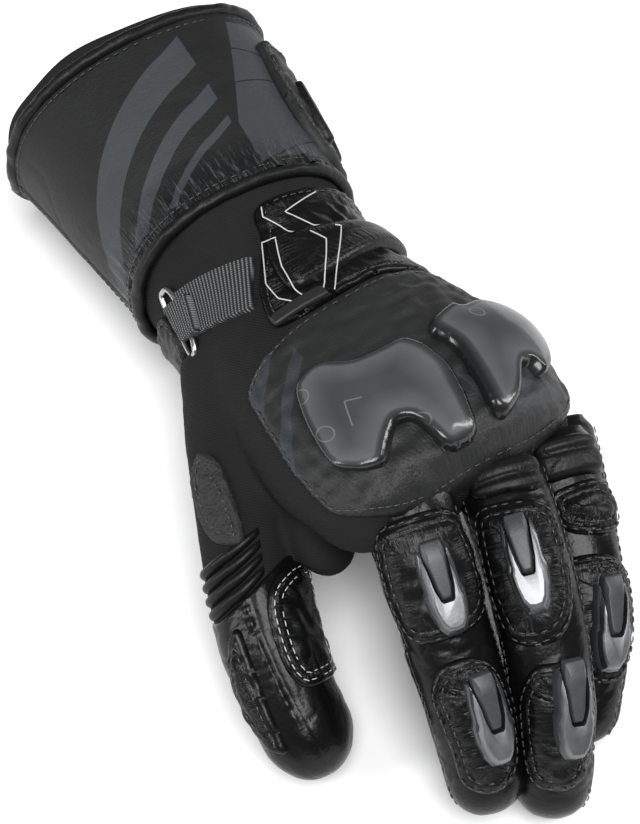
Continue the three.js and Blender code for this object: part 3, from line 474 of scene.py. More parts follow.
def frame_shift():
    """From the middle of the cuff's mouth to the frame: the cuff's solid, worked out again."""
    degrees = np.arange(CUFF_SOLID_SIDES) * 360 / CUFF_SOLID_SIDES
    start = mouth_at(degrees) + BINDING_WIDTH + GAP
    front = CUFF_FRONT - GAP
    share = np.linspace(0, 1, CUFF_SOLID_RINGS)[:, None]
    points = hand.point(start + (front - start) * share, degrees, ON_LIMB + CUFF_LEATHER)
    low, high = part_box("gauntlet_cuff")
    own_low = points.reshape(-1, 3).min(0)
    own_high = points.reshape(-1, 3).max(0)
    return (np.array(low) + np.array(high)) * 500 - (own_low + own_high) / 2


SHIFT = frame_shift()


# Noise and edge profiles

def ripple(points, seed, wave):
    """Smooth seeded noise of unit strength with bumps of about one size."""
    rng = np.random.default_rng(seed)
    ways = rng.normal(size=(NOISE_WAVES, points.shape[-1]))
    ways /= np.linalg.norm(ways, axis=1)[:, None]
    pitch = wave * rng.uniform(0.7, 1.5, NOISE_WAVES)
    phase = rng.uniform(0, math.tau, NOISE_WAVES)
    turns = points @ (ways / pitch[:, None] * math.tau).T + phase
    return np.sin(turns).sum(-1) * math.sqrt(2 / NOISE_WAVES)


def creases(points, seed, wave, sharp=2.5):
    """Thin valleys between soft swells, from 0 on a swell to 1 in a valley."""
    return np.clip(1 - np.abs(ripple(points, seed, wave)), 0, 1) ** sharp


def rolled(depth, height, radius, wall=0.4):
    """Height of a rolled edge at a distance in from the border."""
    t = np.clip(depth / radius, 0, 1)
    return height * (wall + (1 - wall) * np.sqrt(1 - (1 - t) ** 2))


def groove(depth, at):
    """Valley that a line of stitches pulls into leather."""
    return -GROOVE_DEPTH * np.exp(-((depth - at) / GROOVE_WIDTH) ** 2)


def swell(depth, start, reach):
    """Padding that rises from a line of stitches, from 0 to 1."""
    return 1 - np.exp(-np.maximum(depth - start, 0) / reach)


# Meshes

def mesh_piece(name, points, faces, finish, plan=None, edge=None):
    """Mesh object from points in millimetres and lists of faces. plan and edge are kept on
    its vertices, for the finishes."""
    mesh = bpy.data.meshes.new(name)
    placed = (np.asarray(points) + SHIFT) / 1000
    mesh.from_pydata(placed.tolist(), [], faces)
    mesh.materials.append(finish)
    mesh.shade_smooth()
    for label, values in (("plan", plan), ("edge", edge)):
        if values is not None:
            layer = mesh.attributes.new(label, "FLOAT_VECTOR", "POINT")
            layer.data.foreach_set("vector", np.asarray(values, np.float32).ravel())
    piece = bpy.data.objects.new(name, mesh)
    bpy.context.scene.collection.objects.link(piece)
    return piece


def wear(piece, slot, *nodes):
    """The piece rides with the glove and hides the nodes that it replaces; slot is not used."""
    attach(piece, "root")
    if nodes:
        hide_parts(*nodes)
    return piece


def grid_faces(rings, count, closed, turned=False):
    """Quads between rings of equal count; closed joins each ring's ends."""
    faces = []
    spans = count if closed else count - 1
    for r in range(rings - 1):
        for k in range(spans):
            a = r * count + k
            b = r * count + (k + 1) % count
            quad = (a, b, b + count, a + count)
            faces.append(quad[::-1] if turned else quad)
    return faces


def apply_modifier(piece, kind, **settings):
    """Puts a modifier's result in place of the piece's mesh."""
    modifier = piece.modifiers.new(kind.title(), kind)
    for name, value in settings.items():
        setattr(modifier, name, value)
    depsgraph = bpy.context.evaluated_depsgraph_get()
    mesh = bpy.data.meshes.new_from_object(piece.evaluated_get(depsgraph))
    piece.modifiers.remove(modifier)
    old = piece.data
    piece.data = mesh
    bpy.data.meshes.remove(old)


def limb_stations(limb, start, stop, step):
    """Distances along a limb, closer over its rounded tip. stop None goes to the tip."""
    straight = limb.end - limb.tip
    last = straight if stop is None else stop
    along = np.linspace(start, last, max(int((last - start) / step), 2))
    if stop is None:
        turns = np.linspace(0, math.pi / 2, TIP_RINGS + 2)[1:-1]
        along = np.concatenate([along, straight + limb.tip * np.sin(turns)])
    return along


def tube_mesh(limb, relief, start, stop=None, step=1.1, sides=96, capped=False):
    """Points, faces and plan of a limb's surface. relief gives the distance out of it from
    along, degrees and points; start may be a function of the angle. stop None goes to the
    tip."""
    degrees = np.arange(sides) * 360 / sides
    first = start(degrees) if callable(start) else np.full(sides, float(start))
    along = limb_stations(limb, float(first.min()), stop, step)[:, None]
    last = along[-1] if stop is not None else limb.end - limb.tip
    share = np.clip((along - first.min()) / (last - first.min()), 0, 1)
    along = np.where(share < 1, first + (last - first) * share, along)
    degrees = np.broadcast_to(degrees, along.shape)
    off = relief(along, degrees, limb.point(along, degrees, 0))
    straight = limb.end - limb.tip
    beyond = np.maximum(along - straight, 0)
    along = np.minimum(along, straight) + beyond * (limb.tip + off) / limb.tip
    points = limb.point(along, degrees, off)
    rings = len(points)
    faces = grid_faces(rings, sides, True, turned=True)
    flat = points.reshape(-1, 3).tolist()
    radius = limb.radius(0.5)
    plan = np.stack([along, np.radians(degrees) * radius, np.zeros_like(along)], -1)
    plan = plan.reshape(-1, 3).tolist()
    end = (rings - 1) * sides
    if stop is None or capped:
        reach = limb.end + float(off[-1].mean()) if stop is None else float(along[-1].mean())
        flat.append(limb.centre(reach).tolist())
        plan.append(plan[-1])
        for k in range(sides):
            faces.append((end + (k + 1) % sides, end + k, len(flat) - 1))
    if capped:
        flat.append(limb.centre(float(first.mean())).tolist())
        plan.append(plan[0])
        for k in range(sides):
            faces.append((k, (k + 1) % sides, len(flat) - 1))
    return np.array(flat), faces, np.array(plan)


def smooth_relief(off):
    return lambda along, degrees, points: np.full(along.shape, float(off))


def rounded_outline(corners, passes=2, cut=0.22):
    """Closed outline with its corners cut round."""
    points = np.asarray(corners, float)
    for _ in range(passes):
        after = np.roll(points, -1, axis=0)
        pair = np.stack([points * (1 - cut) + after * cut, points * cut + after * (1 - cut)], 1)
        points = pair.reshape(-1, 2)
    return points


def flat_outline(limb, outline):
    """Outline in millimetres along and around, with the radius that it was laid flat at."""
    shares = np.array(outline, float)
    radius = float(limb.radius(shares[:, 0].mean()))
    flat = np.stack([shares[:, 0] * limb.length, np.radians(shares[:, 1]) * radius], 1)
    return flat, radius


def border_distance(points, outline):
    """Distance in from a closed outline, negative outside, the nearest border point and how
    far round the border that is."""
    flat = points.reshape(-1, 2)
    best = np.full(len(flat), np.inf)
    nearest = np.zeros_like(flat)
    run = np.zeros(len(flat))
    inside = np.zeros(len(flat), bool)
    before = 0
    for a, b in zip(outline, np.roll(outline, -1, axis=0)):
        side = b - a
        reach = np.linalg.norm(side)
        t = np.clip(((flat - a) @ side) / (side @ side), 0, 1)
        near = a + t[:, None] * side
        distance = np.linalg.norm(flat - near, axis=1)
        closer = distance < best
        best[closer] = distance[closer]
        nearest[closer] = near[closer]
        run[closer] = before + t[closer] * reach
        before += reach
        if a[1] != b[1]:
            crosses = (flat[:, 1] > a[1]) != (flat[:, 1] > b[1])
            level = a[0] + (flat[:, 1] - a[1]) / (b[1] - a[1]) * side[0]
            inside ^= crosses & (flat[:, 0] < level)
    depth = np.where(inside, best, -best)
    grid = points.shape[:-1]
    return depth.reshape(grid), nearest.reshape(points.shape), run.reshape(grid)


def outline_grid(outline, cell):
    """Square cells that fill a flat outline, with their border vertices on the outline:
    the vertices, their distances in from the border and round it, and the faces."""
    low = outline.min(0) - 2 * cell
    high = outline.max(0) + 2 * cell
    u = np.arange(low[0], high[0] + cell, cell)
    v = np.arange(low[1], high[1] + cell, cell)
    points = np.stack(np.meshgrid(u, v, indexing="ij"), -1)
    depth, nearest, run = border_distance(points, outline)
    snapped = np.abs(depth) < BORDER_SNAP * cell
    points[snapped] = nearest[snapped]
    depth[snapped] = 0
    kept = depth >= 0
    number = np.arange(kept.size).reshape(kept.shape)
    faces = []
    corners = ((0, 0), (1, 0), (1, 1), (0, 1))
    rows, columns = kept.shape
    counts = sum(kept[i:rows - 1 + i, j:columns - 1 + j].astype(int) for i, j in corners)
    for i, j in zip(*np.nonzero(counts >= 3)):
        face = [int(number[i + a, j + b]) for a, b in corners if kept[i + a, j + b]]
        if any(depth[i + a, j + b] > 0 for a, b in corners) or len(face) == 4:
            faces.append(face)
    used = sorted({k for face in faces for k in face})
    order = {old: new for new, old in enumerate(used)}
    faces = [[order[k] for k in face] for face in faces]
    return points.reshape(-1, 2)[used], depth.reshape(-1)[used], run.reshape(-1)[used], faces


def pleats(run, depth, pitch):
    """Small pleats that run in from a sewn border and fade out."""
    flat = np.stack([run, depth * 0.2], -1)
    return ripple(flat, 90, pitch) * np.exp(-((depth - 4.5) / 2.6) ** 2)


def sewn(name, limb, outline, low, profile, finish, cell=0.8, passes=2, cut=0.22,
         gathers=0.0):
    """Sheet laid on a limb inside an outline, low above it. profile gives the sheet's height
    from the distance in from the border, the flat place and the points on the limb."""
    flat, radius = flat_outline(limb, outline)
    border = rounded_outline(flat, passes, cut)
    places, depth, run, faces = outline_grid(border, cell)
    degrees = np.degrees(places[:, 1] / radius)
    base = limb.point(places[:, 0], degrees, low)
    height = profile(depth, places, base) + gathers * pleats(run, depth, 2.4)
    top = limb.point(places[:, 0], degrees, low + height)
    corners = np.array([face[:3] for face in faces])
    a, b, c = (top[corners[:, k]] for k in range(3))
    out = top - limb.point(places[:, 0], degrees, low - 5)
    if np.sum(np.cross(b - a, c - a) * out[corners[:, 0]]) < 0:
        faces = [face[::-1] for face in faces]
    edges = {}
    for face in faces:
        for p, q in zip(face, face[1:] + face[:1]):
            edges[(p, q)] = edges.get((q, p)) is None
            if (q, p) in edges:
                edges[(p, q)] = edges[(q, p)] = False
    border_edges = [pair for pair, single in edges.items() if single]
    rim = sorted({p for pair in border_edges for p in pair})
    foot = {p: len(top) + k for k, p in enumerate(rim)}
    under = limb.point(places[rim, 0], degrees[rim], low - EDGE_FOOT)
    faces = faces + [[q, p, foot[p], foot[q]] for p, q in border_edges]
    plan = np.column_stack([places, depth])
    plan = np.vstack([plan, plan[rim]])
    edge = np.column_stack([run, depth, np.zeros(len(run))])
    edge = np.vstack([edge, edge[rim]])
    piece = mesh_piece(name, np.vstack([top, under]), faces, finish, plan, edge)
    return piece, border, radius


def even_path(points, pitch, closed):
    """Points at an even pitch along a line."""
    line = np.vstack([points, points[:1]]) if closed else np.asarray(points)
    step = np.linalg.norm(np.diff(line, axis=0), axis=1)
    reach = np.concatenate([[0], np.cumsum(step)])
    count = max(int(reach[-1] / pitch), 2)
    want = np.linspace(0, reach[-1], count, endpoint=not closed)
    return np.stack([np.interp(want, reach, line[:, k]) for k in range(line.shape[1])], 1)


def stitches(name, limb, line, radius, off, finish, closed=True, pitch=STITCH_PITCH,
             thick=THREAD):
    """Row of thread stitches along a line laid flat on a limb, as one mesh."""
    sides = 6
    places = even_path(line, pitch, closed)
    degrees = np.degrees(places[:, 1] / radius)
    middle = limb.point(places[:, 0], degrees, off)
    up = limb.point(places[:, 0], degrees, off + 1) - middle
    if closed:
        way = np.roll(middle, -1, axis=0) - np.roll(middle, 1, axis=0)
    else:
        way = np.gradient(middle, axis=0)
    way /= np.maximum(np.linalg.norm(way, axis=1), 1e-9)[:, None]
    side = np.cross(way, up)
    side /= np.linalg.norm(side, axis=1)[:, None]
    up = np.cross(side, way)
    spots = np.array([-1, -0.72, 0, 0.72, 1]) * pitch * 0.4
    wide = np.array([0.35, 0.85, 1, 0.85, 0.35]) * thick / 2
    drop = np.array([-0.5, -0.1, 0, -0.1, -0.5]) * thick
    turns = np.arange(sides) * math.tau / sides
    ring_side = np.cos(turns)[None, :] * wide[:, None]
    ring_up = np.sin(turns)[None, :] * wide[:, None] * 0.8 + drop[:, None]
    ring_way = np.repeat(spots[:, None], sides, axis=1)
    local = np.stack([ring_way, ring_side, ring_up], -1).reshape(-1, 3)
    basis = np.stack([way, side, up], 1)
    points = middle[:, None, :] + np.einsum("lk,nkj->nlj", local, basis)
    faces = []
    count = len(local)
    one = grid_faces(len(spots), sides, True, turned=True)
    one.append(tuple(range(sides)))
    one.append(tuple(range(count - sides, count))[::-1])
    for k in range(len(middle)):
        faces += [tuple(count * k + i for i in face) for face in one]
    return wear(mesh_piece(name, points.reshape(-1, 3), faces, finish), "gloss_leather")


def inset_line(border, distance):
    """Outline moved in from a flat border, kept where it stays clear of the other side."""
    before = border - np.roll(border, 1, axis=0)
    after = np.roll(border, -1, axis=0) - border
    way = before / np.maximum(np.linalg.norm(before, axis=1), 1e-9)[:, None]
    way = way + after / np.maximum(np.linalg.norm(after, axis=1), 1e-9)[:, None]
    way /= np.maximum(np.linalg.norm(way, axis=1), 1e-9)[:, None]
    x, y = border[:, 0], border[:, 1]
    area = np.sum(x * np.roll(y, -1) - np.roll(x, -1) * y)
    side = 1 if area > 0 else -1
    moved = border + np.stack([-way[:, 1], way[:, 0]], 1) * distance * side
    depth = border_distance(moved, border)[0]
    return moved[depth > distance * 0.8]


def cord_mesh(path, radius, closed=False, sides=10):
    """Round cord along a path of points."""
    if closed:
        ahead = np.roll(path, -1, axis=0) - np.roll(path, 1, axis=0)
    else:
        ahead = np.gradient(path, axis=0)
    ahead /= np.linalg.norm(ahead, axis=1)[:, None]
    side = np.cross(ahead, [0.13, 0.21, 0.97])
    side /= np.linalg.norm(side, axis=1)[:, None]
    up = np.cross(side, ahead)
    turns = np.arange(sides) * math.tau / sides
    rings = (side[:, None, :] * np.cos(turns)[None, :, None]
             + up[:, None, :] * np.sin(turns)[None, :, None])
    points = (path[:, None, :] + rings * radius).reshape(-1, 3)
    faces = grid_faces(len(path), sides, True, turned=True)
    if closed:
        last = (len(path) - 1) * sides
        for k in range(sides):
            b = (k + 1) % sides
            faces.append((last + b, last + k, k, b))
    else:
        faces.append(tuple(range(sides)))
        faces.append(tuple(len(points) - 1 - k for k in range(sides)))
    return points, faces


# Finishes

class Wire:
    """One output of a shader node, for use in Python arithmetic."""

    def __init__(self, finish, socket):
        self.finish = finish
        self.socket = socket

    def math(self, operation, first, second=None):
        values = {0: first}
        if second is not None:
            values[1] = second
        return self.finish.node("ShaderNodeMath", {"operation": operation}, values)

    def __add__(self, other):
        return self.math("ADD", self, other)

    def __sub__(self, other):
        return self.math("SUBTRACT", self, other)

    def __rsub__(self, other):
        return self.math("SUBTRACT", other, self)

    def __mul__(self, other):
        return self.math("MULTIPLY", self, other)

    def __pow__(self, other):
        return self.math("POWER", self, other)

    def __gt__(self, other):
        return self.math("GREATER_THAN", self, other)

    def __lt__(self, other):
        return self.math("LESS_THAN", self, other)

    __radd__ = __add__
    __rmul__ = __mul__

    def size(self):
        return self.math("ABSOLUTE", self)

    def wave(self):
        return self.math("SINE", self)

    def smaller(self, other):
        return self.math("MINIMUM", self, other)

    def larger(self, other):
        return self.math("MAXIMUM", self, other)

    def clamped(self):
        return self.larger(0).smaller(1)


class Finish:
    """A material under construction, with one Principled shader."""

    def __init__(self, name, **constants):
        self.material = bpy.data.materials.new(name)
        self.material.use_nodes = True
        self.tree = self.material.node_tree
        self.shader = self.tree.nodes["Principled BSDF"]
        for socket, value in constants.items():
            self.shader.inputs[socket.replace("_", " ")].default_value = value

    def node(self, kind, settings=None, values=None, output=0):
        """Adds a node: its settings first, then its sockets' values or links."""
        made = self.tree.nodes.new(kind)
        for name, value in (settings or {}).items():
            setattr(made, name, value)
        for socket, value in (values or {}).items():
            if isinstance(value, Wire):
                self.tree.links.new(value.socket, made.inputs[socket])
            else:
                made.inputs[socket].default_value = value
        return Wire(self, made.outputs[output])

    def place(self):
        """Place on the glove, in metres."""
        return self.node("ShaderNodeTexCoord", output="Object")

    def plan(self):
        """Millimetres along, millimetres around and distance in from the border."""
        return self.node("ShaderNodeAttribute", {"attribute_name": "plan"}, output="Vector")

    def edge(self):
        """Millimetres round the border and distance in from it."""
        return self.node("ShaderNodeAttribute", {"attribute_name": "edge"}, output="Vector")

    def parts(self, vector):
        """The three numbers of a vector."""
        split = self.node("ShaderNodeSeparateXYZ", {}, {0: vector}).socket.node
        return [Wire(self, output) for output in split.outputs]

    def vector(self, x, y):
        return self.node("ShaderNodeCombineXYZ", {}, {0: x, 1: y})

    def noise(self, vector, scale, detail=3, roughness=0.55):
        return self.node("ShaderNodeTexNoise", {}, {
            "Vector": vector, "Scale": scale, "Detail": detail, "Roughness": roughness,
        }, output="Fac")

    def cells(self, vector, scale):
        return self.node("ShaderNodeTexVoronoi", {}, {
            "Vector": vector, "Scale": scale,
        }, output="Distance")

    def mix(self, share, first, second):
        """Colour between two colours."""
        values = {0: share, 6: first, 7: second}
        return self.node("ShaderNodeMix", {"data_type": "RGBA"}, values, output=2)

    def feed(self, socket, wire):
        """Links an output to a socket of the Principled shader."""
        self.tree.links.new(wire.socket, self.shader.inputs[socket])

    def relief(self, height, distance):
        """Bump from a height; distance is in metres."""
        values = {"Height": height, "Distance": distance, "Strength": 1.0}
        self.feed("Normal", self.node("ShaderNodeBump", {}, values, output="Normal"))


def grey(level, tint=0.0):
    """Linear colour with a little blue in it."""
    return (level * (1 - tint), level, level * (1 + 1.6 * tint), 1)


def gather_lines(finish):
    """Fine lines that run in from a sewn border, and the distance in from it."""
    run, depth, _ = finish.parts(finish.edge())
    return finish.noise(finish.vector(run * 0.85, depth * 0.11), 1.0, 3, 0.6), depth


def between(depth, start, stop, slope):
    """From 0 at two distances in from the border to 1 between them."""
    return ((stop - depth) * slope).clamped() * ((depth - start) * 0.8).clamped()


def leather_height(finish, place, grain, fold, gather):
    """Grain of small cells, soft folds, and fine gathers along the sewn border."""
    cells = finish.cells(place, 1 / grain)
    folds = (finish.noise(place, 1 / fold, 4, 0.6) - 0.5).size() * 2
    lines, depth = gather_lines(finish)
    near = between(depth, 2, 11, 0.12)
    return cells * 0.3 + folds.smaller(0.5) * 0.7 + lines * near * gather


def soft_leather(name, level, roughness, grain=0.0011, fold=0.006, deep=0.00035, shine=0.3,
                 gather=2.2):
    """Dark leather of a grey level, with a painted highlight on the gathers along its
    sewn border. grain, fold and deep are in metres."""
    finish = Finish(name, IOR=1.48, Specular_IOR_Level=shine)
    place = finish.place()
    cloud = finish.noise(place, 45, 3)
    fine = finish.noise(place, 900, 2)
    leather = finish.mix(cloud, grey(level * 0.7, 0.02), grey(level * 1.3, 0.05))
    lines, depth = gather_lines(finish)
    # painted highlight: pale streaks on the gather lines near the sewn border stand in for light
    # glinting off them
    painted_gather_highlight = ((lines - 0.56) * 6).clamped() * between(depth, 3, 9, 0.14) * (gather / 8)
    finish.feed("Base Color", finish.mix(painted_gather_highlight, leather, grey(0.07, 0.02)))
    finish.feed("Roughness", roughness + (cloud - 0.5) * 0.2 + (fine - 0.5) * 0.1)
    finish.relief(leather_height(finish, place, grain, fold, gather), deep)
    return finish.material


def band(x, y, across, along, middle, half):
    """Slanted stripe on a plan: 1 within half of the line across * x + along * y = middle."""
    return (x * across + y * along - middle).size() < half


def ring_line(x, y, along, around, radius):
    """Thin circle on a plan: 1 on the line."""
    away = ((x - along) ** 2 + (y - around) ** 2) ** 0.5
    return (away - radius).size() < 0.22


def cuff_finish():
    """Matte leather with a tone-on-tone print, and gathers where it is sewn in at the wrist,
    with a painted highlight on them."""
    finish = Finish("cuff_leather", IOR=1.48, Specular_IOR_Level=0.3)
    x, y, _ = finish.parts(finish.plan())
    stripes = sum(band(x, y, *line) for line in CUFF_STRIPES) * (y < 8)
    seams = sum(band(x, y, *line) for line in CUFF_SEAMS).smaller(1)
    panel = (x * 0.34 + y * 0.94 > 33) * (y > 10) * (1 - seams)
    mask = (stripes + panel).smaller(1) * (x > 22) * (x < 89)
    cloud = finish.noise(finish.place(), 60, 3)
    plain = finish.mix(cloud, grey(0.008, 0.02), grey(0.013, 0.03))
    print_grey = finish.mix(cloud, grey(0.036, 0.06), grey(0.05, 0.08))
    printed = finish.mix(mask, plain, print_grey)
    near = ((x - 76) * 0.09).clamped()
    lines = finish.noise(finish.vector(y * 1.1, x * 0.1), 1.0, 3, 0.6)
    # painted highlight: pale streaks on the gathers toward the wrist stand in for light glinting
    # off them
    painted_gather_highlight = ((lines - 0.52) * 6).clamped() * near
    finish.feed("Base Color", finish.mix(painted_gather_highlight * 0.7, printed, grey(0.12, 0.06)))
    finish.feed("Roughness", 0.6 - near * 0.3 + (cloud - 0.5) * 0.1)
    grain = leather_height(finish, finish.place(), 0.0009, 0.009, 0)
    finish.relief(lines * near * 8 + grain, 0.0003)
    return finish.material


def back_finish():
    """Matte leather with a few slanted tone-on-tone stripes, grained toward the knuckles."""
    finish = Finish("back_leather", IOR=1.48, Specular_IOR_Level=0.35)
    x, y, _ = finish.parts(finish.plan())
    first = band(x, y, 0.75, 0.66, 106, 5) * (y < -14)
    second = band(x, y, 0.75, 0.66, 120, 2) * (y < -18)
    third = band(x, y, 0.9, -0.43, 192, 5) * (y > 4)
    mask = (first + second + third).smaller(1) * (x > 168) * (x < 226)
    cloud = finish.noise(finish.place(), 60, 3)
    plain = finish.mix(cloud, grey(0.011, 0.02), grey(0.018, 0.03))
    print_grey = finish.mix(cloud, grey(0.024, 0.08), grey(0.032, 0.1))
    finish.feed("Base Color", finish.mix(mask, plain, print_grey))
    grained = ((x - 208) * 0.06).clamped()
    lines = finish.noise(finish.vector(y * 0.9, x * 0.16), 1.0, 4, 0.7)
    finish.feed("Roughness", 0.55 - grained * 0.13 + (cloud - 0.5) * 0.1)
    grain = leather_height(finish, finish.place(), 0.0009, 0.009, 0)
    finish.relief(lines * grained * 2 + grain, 0.0003)
    return finish.material


def textile_finish():
    """Matte black twill."""
    finish = Finish("black_twill", IOR=1.4, Specular_IOR_Level=0.2)
    place = finish.place()
    twill = finish.node("ShaderNodeTexWave", {"bands_direction": "DIAGONAL"}, {
        "Vector": place, "Scale": 420.0, "Distortion": 0.6, "Detail": 1.0,
    }, output="Fac")
    cloud = finish.noise(place, 70, 3)
    finish.feed("Base Color", finish.mix(cloud, grey(0.009), grey(0.015)))
    finish.feed("Roughness", 0.82 + (cloud - 0.5) * 0.2)
    finish.relief(twill * 0.6 + finish.noise(place, 1400, 2) * 0.4, 0.00022)
    return finish.material


def webbing_finish():
    """Ribbed webbing: dark ribs across it, with pale threads in dashes between them."""
    finish = Finish("grey_webbing", IOR=1.4, Specular_IOR_Level=0.25)
    x, y, _ = finish.parts(finish.plan())
    ahead = y * math.cos(STRAP_LEAN) - x * math.sin(STRAP_LEAN)
    side = x * math.cos(STRAP_LEAN) + y * math.sin(STRAP_LEAN)
    rib = (ahead * (math.tau / STRAP_RIB)).wave() * 0.5 + 0.5
    thread = (side * (math.tau / 0.95)).wave() * 0.5 + 0.5
    pale = (rib ** 2.0) * (0.25 + thread * 0.75)
    cloud = finish.noise(finish.place(), 160, 3)
    colour = finish.mix(pale, grey(0.006, 0.02), grey(0.3, 0.02))
    finish.feed("Base Color", finish.mix(cloud * 0.3, colour, grey(0.05)))
    finish.feed("Roughness", 0.7 + (cloud - 0.5) * 0.2)
    finish.relief(pale, 0.0004)
    return finish.material


def guard_finish():
    """Smoky moulding: painted shade on its side walls, a painted highlight just inside the bevel,
    hazy inside, with a few faint moulded lines.
    """
    finish = Finish("smoky_guard", IOR=1.5, Transmission_Weight=0.15)
    x, y, depth = finish.parts(finish.plan())
    # painted shade: the side walls are darkened in the colour
    wall = (1 - (depth - 0.7) * 0.55).clamped()
    haze = finish.noise(finish.place(), 38, 2)
    inside = finish.mix(haze, grey(0.03, 0.05), grey(0.09, 0.02))
    first = band(x, y, 0.5, 0.87, 84, 0.2) * band(x, y, 0.87, -0.5, 190, 4)
    second = band(x, y, 0.87, -0.5, 186, 0.2) * band(x, y, 0.5, 0.87, 86, 2)
    rings = sum(ring_line(x, y, *stud) for stud in GUARD_STUDS)
    marks = (first + second + rings).smaller(1)
    marked = finish.mix(marks * 0.45, inside, grey(0.26, 0.02))
    # painted highlight: a pale band just inside the bevel stands in for light caught on the rim
    painted_rim_highlight = ((depth - 2.2) * 1.4).clamped() * (1 - (depth - 2.8) * 0.16).clamped()
    edged = finish.mix(painted_rim_highlight * (0.15 + haze * 0.6), marked, grey(0.17, 0.02))
    finish.feed("Base Color", finish.mix(wall, edged, grey(0.014, 0.03)))
    finish.feed("Roughness", 0.14 + haze * 0.1)
    finish.relief(finish.noise(finish.place(), 260, 2), 0.00008)
    return finish.material


def slider_finish():
    finish = Finish("slider_metal", Metallic=1.0)
    cloud = finish.noise(finish.place(), 150, 3)
    finish.feed("Base Color", finish.mix(cloud, grey(0.14, 0.02), grey(0.3, 0.02)))
    finish.feed("Roughness", 0.38 + cloud * 0.14)
    finish.relief(finish.noise(finish.place(), 700, 2), 0.00005)
    return finish.material


def skirt_finish():
    finish = Finish("slider_skirt", IOR=1.5)
    cloud = finish.noise(finish.place(), 120, 2)
    finish.feed("Base Color", finish.mix(cloud, grey(0.02, 0.03), grey(0.05, 0.04)))
    finish.feed("Roughness", 0.12 + cloud * 0.12)
    return finish.material


def ring_finish():
    finish = Finish("ring_steel", Metallic=1.0)
    cloud = finish.noise(finish.place(), 400, 3)
    finish.feed("Base Color", finish.mix(cloud, grey(0.3), grey(0.5)))
    finish.feed("Roughness", 0.18 + cloud * 0.15)
    return finish.material


def insert_finish():
    finish = Finish("insert_plastic", IOR=1.5)
    cloud = finish.noise(finish.place(), 300, 3)
    finish.feed("Base Color", finish.mix(cloud, grey(0.03, 0.03), grey(0.05, 0.04)))
    finish.feed("Roughness", 0.36 + cloud * 0.15)
    finish.relief(finish.noise(finish.place(), 1500, 2), 0.00006)
    return finish.material


def pad_finish():
    finish = Finish("pad_rubber", IOR=1.45)
    place = finish.place()
    dots = finish.cells(place, 700)
    finish.feed("Base Color", finish.mix(dots, grey(0.01), grey(0.024, 0.02)))
    finish.feed("Roughness", 0.6 + dots * 0.25)
    finish.relief(dots, 0.0005)
    return finish.material


def thread_finish(name, level, roughness):
    finish = Finish(name, IOR=1.5)
    twist = finish.noise(finish.place(), 2500, 2)
    finish.feed("Base Color", finish.mix(twist, grey(level * 0.8), grey(level * 1.2)))
    finish.feed("Roughness", roughness + (twist - 0.5) * 0.2)
    return finish.material


def floor_finish():
    finish = Finish("pale_floor", Roughness=0.9)
    finish.shader.inputs["Base Color"].default_value = (0.9, 0.9, 0.905, 1)
    return finish.material


CUFF = cuff_finish()
BACK = back_finish()
PLAIN_MATTE = soft_leather("matte_leather", 0.014, 0.55, 0.0009, 0.008, 0.00018)
GLOSS = soft_leather("gloss_leather", 0.0035, 0.31, 0.0012, 0.014, 0.00019, 0.24, 6)
STRETCH = soft_leather("stretch_leather", 0.005, 0.45, 0.001, 0.007, 0.00018, 0.26)
LABEL_CLOTH = thread_finish("label_cloth", 0.012, 0.5)
TWILL = textile_finish()
WEB_GREY = webbing_finish()
SMOKE = guard_finish()
CHROME = slider_finish()
SKIRT = skirt_finish()
STEEL = ring_finish()
INSERT = insert_finish()
PAD = pad_finish()
BLACK_THREAD = thread_finish("black_thread", 0.035, 0.3)
WHITE_THREAD = thread_finish("white_thread", 0.5, 0.5)
FLOOR = floor_finish()


# Pieces

def add_camera():
    data = bpy.data.cameras.new("camera")
    data.lens = CAMERA_LENS
    data.sensor_width = CAMERA_SENSOR
    camera = bpy.data.objects.new("camera", data)
    bpy.context.scene.collection.objects.link(camera)
    azimuth = math.radians(CAMERA_AZIMUTH)
    rise = math.radians(CAMERA_ELEVATION)
    back = Vector((
        math.sin(azimuth) * math.cos(rise), -math.cos(azimuth) * math.cos(rise), math.sin(rise),
    ))
    target = Vector(((np.array(CAMERA_TARGET) + SHIFT) / 1000).tolist())
    camera.location = target + back * CAMERA_DISTANCE / 1000
    camera.rotation_euler = (-back).to_track_quat("-Z", "Y").to_euler()
    bpy.context.scene.camera = camera


def add_light(name, place, size, power):
    data = bpy.data.lights.new(name, "AREA")
    data.shape = "RECTANGLE"
    data.size, data.size_y = size
    data.energy = power
    light = bpy.data.objects.new(name, data)
    light.location = place
    way = Vector(LIT_POINT) - Vector(place)
    light.rotation_euler = way.to_track_quat("-Z", "Y").to_euler()
    bpy.context.scene.collection.objects.link(light)


def add_studio():
    """Pale floor, even world light, a soft sun from above and two strip lights."""
    points = [(-2, -2, 0), (2, -2, 0), (2, 2, 0), (-2, 2, 0)]
    mesh = bpy.data.meshes.new("floor")
    mesh.from_pydata(points, [], [(0, 1, 2, 3)])
    mesh.materials.append(FLOOR)
    floor = bpy.data.objects.new("floor", mesh)
    bpy.context.scene.collection.objects.link(floor)
    world = bpy.data.worlds.new("studio")
    world.use_nodes = True
    world.node_tree.nodes["Background"].inputs["Color"].default_value = (1, 1, 1, 1)
    world.node_tree.nodes["Background"].inputs["Strength"].default_value = WORLD_LIGHT
    bpy.context.scene.world = world
    bpy.context.scene.view_settings.view_transform = "Standard"
    data = bpy.data.lights.new("softbox", "SUN")
    data.angle = math.radians(36)
    data.energy = SUN_LIGHT
    softbox = bpy.data.objects.new("softbox", data)
    softbox.rotation_euler = (math.radians(20), math.radians(-10), 0)
    bpy.context.scene.collection.objects.link(softbox)
    add_light("left", (-0.7, 0.1, 0.45), (0.12, 0.6), 3)
    add_light("right", (0.7, -0.2, 0.5), (0.12, 0.6), 3)


